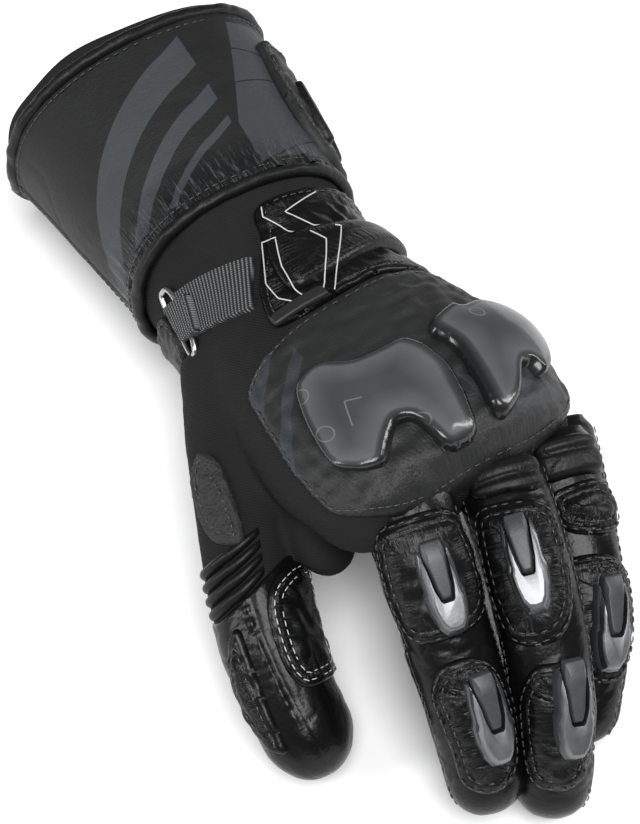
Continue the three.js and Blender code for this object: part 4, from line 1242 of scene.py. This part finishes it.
def union_of(name, bodies, voxel, smoothing):
    """One smooth skin round several closed bodies."""
    points = []
    faces = []
    for body, body_faces, _ in bodies:
        start = len(points)
        points += body.tolist()
        faces += [tuple(start + k for k in face) for face in body_faces]
    piece = mesh_piece(name, points, faces, TWILL)
    apply_modifier(piece, "REMESH", mode="VOXEL", voxel_size=voxel / 1000, use_smooth_shade=True)
    apply_modifier(piece, "SMOOTH", factor=0.5, iterations=smoothing)
    return piece


def lining_wave(degrees):
    """How much further the lining shows where it bulges out of the cuff's mouth."""
    return sum(reach * np.exp(-(((degrees - at + 180) % 360 - 180) / wide) ** 2)
               for at, wide, reach in ((292, 20, 2.6), (335, 22, 3.0)))


def lip(degrees):
    """Where the textile starts, a little out of the cuff's mouth."""
    return mouth_at(degrees) - LINING_SHOWS - lining_wave(degrees)


def hand_folds(along, degrees, points):
    """Folds of the textile, deepest at the wrist."""
    wrist = np.exp(-((along - 128) / 22) ** 2)
    return (0.25 * ripple(points, 5, 30) - 0.9 * wrist * creases(points, 6, 17, 1.5)
            - 0.25 * creases(points, 7, 24, 2))


def thumb_folds(along, degrees, points):
    return 0.2 * ripple(points, 8, 26) - 0.5 * creases(points, 9, 22, 2)


def add_textile():
    """Textile of the hand, the sleeve and the thumb's root, hollow at the arm end."""
    plain = smooth_relief(0)
    bodies = [
        tube_mesh(hand, hand_folds, lip, step=2, sides=150, capped=True),
        tube_mesh(limbs["web"], plain, 0, step=2, sides=60, capped=True),
        tube_mesh(limbs["heel"], plain, 0, step=2, sides=60, capped=True),
        tube_mesh(thumb, thumb_folds, 0, stop=0.7 * THUMB_LENGTH, step=2, sides=80, capped=True),
    ]
    piece = union_of("textile_body", bodies, 1.5, 7)
    points, faces, _ = tube_mesh(hand, smooth_relief(-TEXTILE), -8, step=3, sides=120, capped=True)
    cutter = mesh_piece("hollow", points, faces, TWILL)
    apply_modifier(piece, "BOOLEAN", object=cutter, operation="DIFFERENCE", solver="EXACT")
    bpy.data.objects.remove(cutter)
    wear(piece, "black_textile", "hand_shell", "thumb_gusset")


def lining_at(degrees):
    return mouth_at(degrees) - 0.8 - lining_wave(degrees)


def add_lining_edge():
    """Rounded edge of the lining, all round the cuff's mouth."""
    turns = np.linspace(0, math.tau, 16, endpoint=False)
    section = np.stack([3.6 * np.cos(turns), -1.1 + 1.1 * np.sin(turns)], 1)
    points, faces = ring_band(hand, section, lining_at, 300)
    wear(mesh_piece("lining_edge", points, faces, TWILL), "black_textile")


def finger_relief(limb, seed, joints):
    """Leather of a finger: folds across it, deepest where it bends."""
    def relief(along, degrees, points):
        flat = np.stack([along, np.radians(degrees) * limb.radius(0.5) * 0.4], -1)
        bend = sum(np.exp(-((along / limb.length - joint) / 0.07) ** 2) for joint in joints)
        across = creases(flat, seed, 9, 2)
        fine = creases(points, seed + 1, 12, 2.5)
        seams = sum(np.exp(-((degrees - side) / 2.2) ** 2) for side in (76, 284))
        tuck = ROOT_TUCK * np.exp(-(along / 3.4) ** 2)
        return (0.2 * ripple(points, seed + 2, 20) - (0.08 + 0.4 * np.minimum(bend, 1)) * across
                - 0.08 * fine - 0.7 * seams - tuck)
    return relief


def seam_line(start, stop, degrees, radius, count):
    """Straight line along a limb at one angle, laid flat."""
    along = np.linspace(start, stop, count)
    return np.stack([along, np.full(count, np.radians(degrees) * radius)], 1)


def add_fingers():
    for k, name in enumerate(("index", "middle", "ring", "little")):
        limb = limbs[name]
        relief = finger_relief(limb, 20 + 7 * k, (0.12, 0.46, 0.8))
        points, faces, plan = tube_mesh(limb, relief, 0, step=0.95, sides=110)
        piece = mesh_piece(f"{name}_leather", points, faces, GLOSS, plan=plan)
        wear(piece, "gloss_leather", f"{name}_shell")
        radius = limb.radius(0.5)
        for side, degrees in (("left", -71), ("right", 71)):
            line = seam_line(6, limb.end - 7, degrees, radius, 60)
            stitches(f"{name}_seam_{side}", limb, line, radius, 0.15, BLACK_THREAD, closed=False)


def thumb_relief(along, degrees, points):
    """Leather of the thumb: a thin start, folds across it, two seams and a welt by one."""
    start = along - thumb_leather_at(degrees)
    flat = np.stack([along, np.radians(degrees) * thumb.radius(0.7) * 0.45], -1)
    edge = rolled(start, 1.3, 1.6, 0.2)
    seams = np.exp(-((degrees - 286) / 1.6) ** 2) + np.exp(-((degrees - 100) / 2) ** 2)
    welt = (np.exp(-((degrees - 279) / 3.6) ** 2)
            * np.clip((0.88 * thumb.end - along) / 9, 0, 1))
    return (edge - 0.2 * creases(flat, 61, 10, 2) - 0.15 * creases(points, 62, 14, 2.5)
            + 0.15 * ripple(points, 63, 20) - 0.7 * seams
            + welt * (0.9 + 0.35 * ripple(points, 64, 3)))


def add_thumb():
    points, faces, plan = tube_mesh(thumb, thumb_relief, thumb_leather_at, step=0.9, sides=110)
    wear(mesh_piece("thumb_tip_leather", points, faces, GLOSS, plan=plan), "gloss_leather",
         "thumb_leather")
    radius = thumb.radius(0.7)
    line = seam_line(THUMB_LEATHER_AT + 8, thumb.end - 6, -73, radius, 50)
    stitches("thumb_seam", thumb, line, radius, 0.1, BLACK_THREAD, closed=False)
    for k in range(RIB_COUNT):
        add_thumb_rib(k)
    add_patch("thumb_abrasion_pad", thumb, ABRASION_PAD, PATCH, PAD, "pad_rubber", seam=3.2,
              puff=0.5)
    add_patch("thumb_outer_patch", thumb, THUMB_OUTER, PANEL, GLOSS, "gloss_leather", lift=0.9)
    add_patch("thumb_web_patch", thumb, THUMB_WEB, PANEL, GLOSS, "gloss_leather", lift=0.9,
              thread=WHITE_THREAD, rows=(2.2, 4.6))


def add_thumb_rib(k):
    """One soft rib across the thumb's back, lower and narrower toward its ends."""
    around = 70
    across = 12
    start = (k - RIB_COUNT) * RIB_PITCH
    degrees = np.linspace(-150, -50, around)[:, None]
    turns = np.linspace(0, math.pi, across)[None, :]
    ease = np.sqrt(np.clip(1 - ((degrees + 100) / 50) ** 2, 0.02, 1))
    width = RIB_WIDTH * (0.5 - 0.5 * np.cos(turns) * (0.65 + 0.35 * ease))
    off = ON_LIMB - 0.5 + (RIB + 0.4) * np.sin(turns) * ease
    points = thumb.point(thumb_leather_at(degrees) + start + width, degrees, off).reshape(-1, 3)
    faces = grid_faces(around, across, False)
    piece = mesh_piece(f"thumb_soft_rib_{k + 1}", points, faces, STRETCH)
    wear(piece, "gloss_leather", f"thumb_rib_{k + 1}")


def ring_band(limb, section, along_at, count, relief=None):
    """Points and faces of a closed band round a limb. section holds the distance along and
    the distance out of the surface, round the band's own outline."""
    degrees = (np.arange(count) * 360 / count)[:, None]
    ahead = section[:, 0][None, :]
    off = section[:, 1][None, :] + np.zeros((count, 1))
    along = along_at(degrees) + ahead
    if relief is not None:
        off = off + relief(limb.point(along, degrees, off), degrees)
    points = limb.point(along, degrees, off).reshape(-1, 3)
    size = len(section)
    faces = grid_faces(count, size, True, turned=True)
    last = (count - 1) * size
    for k in range(size):
        b = (k + 1) % size
        faces.append((k, b, last + b, last + k))
    return points, faces


def binding_section():
    """Outline of a cuff binding, along the hand and out of it: an ellipse, made squarer."""
    turns = np.linspace(0, math.tau, 20, endpoint=False)
    squeeze = 0.82
    x = np.sign(np.cos(turns)) * np.abs(np.cos(turns)) ** squeeze
    y = np.sign(np.sin(turns)) * np.abs(np.sin(turns)) ** squeeze
    wide = BINDING_WIDTH / 2
    tall = BINDING_HEIGHT / 2
    return np.stack([wide + x * wide, ON_LIMB + tall + y * tall], 1)


def cuff_relief(along, degrees, points):
    """Leather of the cuff: gathered at the wrist, rolled at the mouth, with one seam."""
    from_wrist = np.exp(-(CUFF_FRONT - along) / 9)
    gathers = ripple(np.stack([degrees * 0.9, along * 0.12], -1), 31, 7)
    folds = ripple(points, 32, 60)
    edge = rolled(along - mouth_at(degrees) - BINDING_WIDTH * 0.7, CUFF_LEATHER, 2.5, 0.6)
    seam = np.exp(-((degrees - 262) / 1.1) ** 2)
    return (ON_LIMB + edge + from_wrist * (0.5 + 0.55 * gathers) + 0.45 * folds
            - 0.25 * creases(points, 33, 34, 2) - 0.9 * seam)


def cuff_starts_at(degrees):
    return mouth_at(degrees) + BINDING_WIDTH * 0.5


def cuff_front_at(degrees):
    return CUFF_FRONT + 0 * degrees


def binding_wrinkles(points, degrees):
    return 0.18 * ripple(points, 34, 9) - 0.2 * creases(points, 35, 8)


def add_cuff_shell():
    sides = 420
    points, faces, plan = tube_mesh(hand, cuff_relief, cuff_starts_at, stop=CUFF_FRONT + 1,
                                    step=1.1, sides=sides)
    degrees = np.tile((np.arange(sides) * 360 / sides + 180) % 360 - 180, len(plan) // sides)
    plan[:, 1] = np.radians(degrees) * hand.radius(0.25)
    wear(mesh_piece("cuff_shell", points, faces, CUFF, plan=plan), "matte_leather",
         "gauntlet_cuff")


def add_cuff_bindings():
    for name, at in (("mouth", mouth_at), ("wrist", cuff_front_at)):
        points, faces = ring_band(hand, binding_section(), at, 420, binding_wrinkles)
        wear(mesh_piece(f"{name}_roll", points, faces, STRETCH), "gloss_leather",
             f"cuff_{name}_binding")


def add_cuff_stitches():
    count = 300
    degrees = np.linspace(-180, 180, count)
    radius = hand.radius(0.2)
    around = np.radians(degrees) * radius
    lines = {
        "mouth": (mouth_at(degrees) + BINDING_WIDTH + 2.2, 0.1),
        "wrist": (np.full(count, CUFF_FRONT - 2.4), 0.5),
    }
    for name, (along, lift) in lines.items():
        stitches(f"cuff_{name}_stitches", hand, np.stack([along, around], 1), radius,
                 ON_LIMB + CUFF_LEATHER + lift, BLACK_THREAD, closed=False)
    seam = seam_line(14, CUFF_FRONT - 5, -101.5, radius, 60)
    stitches("cuff_seam_stitches", hand, seam, radius, ON_LIMB + CUFF_LEATHER, BLACK_THREAD,
             closed=False)


def cuff_outline(outline):
    """Outline given in shares of the cuff's length, in shares of the sleeve's."""
    start = MOUTH_SCOOP + LINING_SHOWS + BINDING_WIDTH
    span = CUFF_FRONT - GAP - start
    return [((start + share * span) / SLEEVE_LENGTH, degrees) for share, degrees in outline]


def add_patch(name, limb, outline, thick, finish, slot, lift=ON_LIMB, seam=2.6, puff=0.9,
              thread=None, rows=None, cell=0.8, folds=0.18, wave=14):
    """Leather piece with a rolled edge, rows of stitches at seam or at each of rows, and
    padding of the height puff inside them."""
    rows = rows or (seam,)
    seed = sum(map(ord, name)) % 1000

    def profile(depth, places, base):
        shape = rolled(depth, thick, 1.5)
        for row in rows:
            shape = shape + groove(depth, row)
        inner = swell(depth, rows[-1], 3.5)
        flat = np.stack([places[:, 0], places[:, 1] * 0.5], -1)
        rough = folds * (creases(flat, seed, wave, 2) + 0.6 * creases(base, seed + 1, wave * 1.4))
        edge = 0.25 * ripple(places, seed + 2, 7)
        return shape + puff * inner - rough * (0.35 + 0.65 * inner) + edge * (depth > 0)

    piece, border, radius = sewn(f"{name}_sewn", limb, outline, lift, profile, finish, cell,
                                 gathers=PATCH_GATHERS)
    wear(piece, slot, name)
    for k, row in enumerate(rows):
        line = inset_line(border, row)
        if len(line) > 8:
            stitches(f"{name}_stitches_{k + 1}", limb, line, radius,
                     lift + thick - 0.1, thread or BLACK_THREAD,
                 thick=FINE_THREAD if thread else THREAD)


def flap_rib(depth, places, base):
    return rolled(depth, RIB, 1.8, 0.25)


def add_flap():
    outline = cuff_outline(FLAP_OUTLINE)
    add_patch("cuff_closure_flap", hand, outline, FLAP, PLAIN_MATTE, "matte_leather",
              lift=ON_CUFF, seam=3, puff=0.2, folds=0.1, cell=1, wave=22)
    for name, ribs in FLAP_RIBS.items():
        piece, _, _ = sewn(f"flap_rib_{name}", hand, cuff_outline(ribs), ON_FLAP, flap_rib,
                           STRETCH, 0.6)
        wear(piece, "gloss_leather", f"cuff_flap_rib_{name}")


def cushion(depth, places, base):
    """Height of the wrist's padded roll."""
    flat = np.stack([places[:, 0], places[:, 1] * 0.3], -1)
    return rolled(depth, ROLL, 5, 0.1) + 0.8 * swell(depth, 0, 6) + 0.12 * ripple(flat, 71, 16)


def label_top(depth, places, base):
    return rolled(depth, LABEL, 0.6, 0.5)


def add_wrist():
    add_patch("wrist_panel", hand, WRIST_PANEL, PANEL, GLOSS, "gloss_leather", folds=0.5,
              puff=0.4, cell=0.9, wave=15)
    piece, roll, radius = sewn("wrist_cushion", hand, WRIST_ROLL, ON_PANEL, cushion, GLOSS, 0.8)
    wear(piece, "gloss_leather", "wrist_padded_roll")
    piece, _, _ = sewn("wrist_tag", hand, LABEL_OUTLINE, ON_PANEL + 0.5, label_top, LABEL_CLOTH,
                       0.5, passes=1, cut=0.08)
    wear(piece, "black_textile", "wrist_label")
    add_piping(roll, radius)


def add_piping(roll, radius):
    """White cords over the wrist panel and its roll, whose flat outline and radius these are."""
    points = []
    faces = []
    for line in PIPING:
        dense = even_path(np.array(line, float), 0.9, False)
        flat = np.stack([dense[:, 0], np.radians(dense[:, 1]) * radius], 1)
        depth = border_distance(flat, roll)[0]
        over = np.where(depth > 0, ON_PANEL + cushion(depth, flat, None), ON_PANEL)
        over = np.convolve(np.pad(over, 2, "edge"), np.full(5, 0.2), "valid")
        path = hand.point(dense[:, 0], dense[:, 1], over + 0.15)
        cord, cord_faces = cord_mesh(path, PIPING_RADIUS, sides=8)
        faces += [tuple(len(points) + k for k in face) for face in cord_faces]
        points += cord.tolist()
    wear(mesh_piece("wrist_piping", points, faces, WHITE_THREAD), "gloss_leather")


def ring_outline(smaller):
    """Corners of the strap's ring, made smaller by a distance, along and around."""
    long = RING_LONG / 2 - smaller
    wide = RING_ACROSS / 2 - smaller
    radius = PALM_WIDTH * 0.36
    lean = math.radians(RING_LEAN)
    corners = []
    for x, y in ((-long, -wide), (long, -wide), (long, wide), (-long, wide)):
        along = RING_AT + x * math.cos(lean) - y * math.sin(lean)
        around = x * math.sin(lean) + y * math.cos(lean)
        corners.append((along, RING_AROUND + math.degrees(around / radius)))
    return np.array(corners)


def add_strap_ring():
    loop = rounded_outline(ring_outline(WIRE / 2), 3, 0.2)
    dense = even_path(loop, 0.8, True)
    path = hand.point(dense[:, 0], dense[:, 1], ON_LIMB + WIRE / 2)
    points, faces = cord_mesh(path, WIRE / 2, closed=True, sides=14)
    wear(mesh_piece("strap_wire_ring", points, faces, STEEL), "ring_metal", "strap_ring")


def weave(depth, places, base):
    """Height of the webbing, ribbed across its length."""
    ahead = places[:, 1] * math.cos(STRAP_LEAN) - places[:, 0] * math.sin(STRAP_LEAN)
    ribs = 0.12 * np.sin(ahead * math.tau / STRAP_RIB)
    return rolled(depth, WEBBING, 0.8, 0.5) + ribs * (depth > 0.9)


def add_strap():
    """Webbing, its fold over the wire ring with a box of stitches, and its leather tab."""
    add_strap_ring()
    piece, _, _ = sewn("strap_webbing", hand, STRAP, ON_LIMB, weave, WEB_GREY, 0.42,
                       passes=1, cut=0.06)
    wear(piece, "grey_webbing", "webbing_strap")
    piece, border, radius = sewn("strap_webbing_fold", hand, STRAP_FOLD, ON_LIMB + WIRE + 0.2,
                                 weave, WEB_GREY, 0.42, passes=1, cut=0.08)
    wear(piece, "grey_webbing")
    stitches("strap_box_stitches", hand, inset_line(border, 1.8), radius,
             ON_LIMB + WIRE + WEBBING + 0.3, BLACK_THREAD, pitch=2)
    add_patch("strap_tab", hand, TAB, WIRE + WEBBING - 0.6, STRETCH, "gloss_leather", seam=2.4,
              puff=0.3, folds=0.4)


def guard_dome(depth, places, base):
    """Height of a guard: a bevelled rim, then a low dome."""
    bevel = np.clip(depth / 1.7, 0, 1)
    shape = GUARD * (0.4 + 0.42 * np.sqrt(1 - (1 - bevel) ** 2))
    return shape + GUARD * 0.18 * swell(depth, 1.7, 6)


def add_guard(name, outline):
    piece, _, _ = sewn(f"{name}_moulding", hand, outline, ON_PANEL - 0.2, guard_dome, SMOKE, 0.6,
                       passes=2, cut=0.18)
    wear(piece, "guard_plastic", name)


def add_back():
    add_patch("back_panel", hand, BACK_PANEL, PANEL + 0.3, BACK, "matte_leather", puff=0.2,
              folds=0.1, cell=1, wave=24, seam=2.2)
    add_guard("knuckle_guard_inner", GUARD_INNER)
    add_guard("knuckle_guard_outer", GUARD_OUTER)
    add_patch("palm_patch", hand, PALM_PATCH, PANEL, GLOSS, "gloss_leather", cell=1.4, puff=0.3)


def pleated_roll(depth, places, base):
    """Height of a knuckle roll: padding with narrow pleats along it."""
    return rolled(depth, PATCH, 2.4, 0.2) - np.cos(places[:, 0] * math.pi / 8.5) ** 12


def add_finger_patches():
    for name, (finger, outline) in PATCHES.items():
        add_patch(name, limbs[finger], outline, PATCH - 0.3, GLOSS, "gloss_leather", puff=1.5,
                  rows=(1.3, 3.9))
    for name, (finger, outline) in KNUCKLE_ROLLS.items():
        piece, _, _ = sewn(f"{name}_pleats", limbs[finger], outline, ON_LIMB, pleated_roll,
                           STRETCH, 0.7)
        wear(piece, "gloss_leather", name)


def mirrored(half):
    """Whole plan from its right half."""
    points = list(half)
    points += [(-x, y) for x, y in reversed(half) if x > 0]
    return np.array(points)


def plan_stack(limb, along, degrees, plan, width, length, levels, lean=0.0):
    """Closed stack of a plan at rising heights. Each level holds its height and the share
    of the plan that it keeps; lean moves the smaller levels toward the knuckle."""
    rings = []
    for off, keep in levels:
        ahead = along + (plan[:, 1] - lean * (1 - keep)) * length * keep
        base = limb.point(ahead, degrees, off)
        turned = limb.point(ahead, degrees + 1, off) - base
        turned /= np.linalg.norm(turned, axis=1)[:, None]
        rings.append(base + turned * (plan[:, 0] * width * keep)[:, None])
    count = len(plan)
    points = np.vstack(rings)
    faces = grid_faces(len(levels), count, True)
    faces.append(tuple(range(count))[::-1])
    top = (len(levels) - 1) * count
    faces.append(tuple(top + k for k in range(count)))
    a, b, c = (points[k] for k in faces[0][:3])
    if np.dot(np.cross(b - a, c - a), a - points.mean(0)) < 0:
        faces = [face[::-1] for face in faces]
    return points, faces


def soften(piece, width):
    """Rounds the edges of a moulded piece."""
    apply_modifier(piece, "BEVEL", width=width / 1000, segments=3, limit_method="ANGLE",
                   angle_limit=math.radians(22))
    piece.data.shade_smooth()
    piece.data.set_sharp_from_angle(angle=math.radians(38))


def slider_body(name, limb, along, degrees):
    """A slider's dark skirt and its metal crest, both cut out where the insert sits."""
    plan = mirrored(SLIDER_HALF)
    foot = ON_PATCH - 1.5
    skirt = [(foot, 1.02), (ON_PATCH + 1, 1), (ON_PATCH + SLIDER * 0.45, 0.93),
             (ON_PATCH + SLIDER * 0.56, 0.84)]
    crest = [(ON_PATCH + 0.6, 0.9), (ON_PATCH + SLIDER * 0.5, 0.87),
             (ON_PATCH + SLIDER * 0.9, 0.74), (ON_PATCH + SLIDER, 0.64)]
    points, faces = plan_stack(limb, along - 1.5, degrees, mirrored(INSERT_HALF) * [1.12, 1.06],
                               SLIDER_WIDTH, SLIDER_LENGTH,
                               [(foot - 1, 1), (ON_PATCH + SLIDER + 4, 1.15)])
    cutter = mesh_piece("cutter", points, faces, CHROME)
    for part, levels, finish, lean in (("skirt", skirt, SKIRT, 0.0),
                                       ("crest", crest, CHROME, -0.3)):
        points, faces = plan_stack(limb, along, degrees, plan, SLIDER_WIDTH, SLIDER_LENGTH, levels,
                                   lean)
        piece = mesh_piece(f"{name}_{part}", points, faces, finish)
        apply_modifier(piece, "BOOLEAN", object=cutter, operation="DIFFERENCE", solver="EXACT")
        soften(piece, 0.5)
        wear(piece, "slider_plastic", *((name,) if part == "skirt" else ()))
    bpy.data.objects.remove(cutter)


def slider_insert(name, limb, along, degrees):
    """The dark core that fills a slider's cut."""
    levels = [(ON_PATCH + 0.7, 1), (ON_PATCH + SLIDER * 0.72, 0.95),
              (ON_PATCH + SLIDER * 0.98, 0.7)]
    points, faces = plan_stack(limb, along - 1.5, degrees, mirrored(INSERT_HALF), SLIDER_WIDTH,
                               SLIDER_LENGTH, levels)
    piece = mesh_piece(f"{name}_core", points, faces, INSERT)
    soften(piece, 0.4)
    wear(piece, "insert_plastic", f"{name}_insert")


def add_sliders():
    for name, (finger, share, degrees) in SLIDERS.items():
        limb = limbs[finger]
        slider_body(name, limb, share * limb.length, degrees)
        slider_insert(name, limb, share * limb.length, degrees)


add_camera()
add_studio()
add_textile()
add_lining_edge()
add_fingers()
add_thumb()
add_cuff_shell()
add_cuff_bindings()
add_cuff_stitches()
add_flap()
add_wrist()
add_strap()
add_back()
add_finger_patches()
add_sliders()
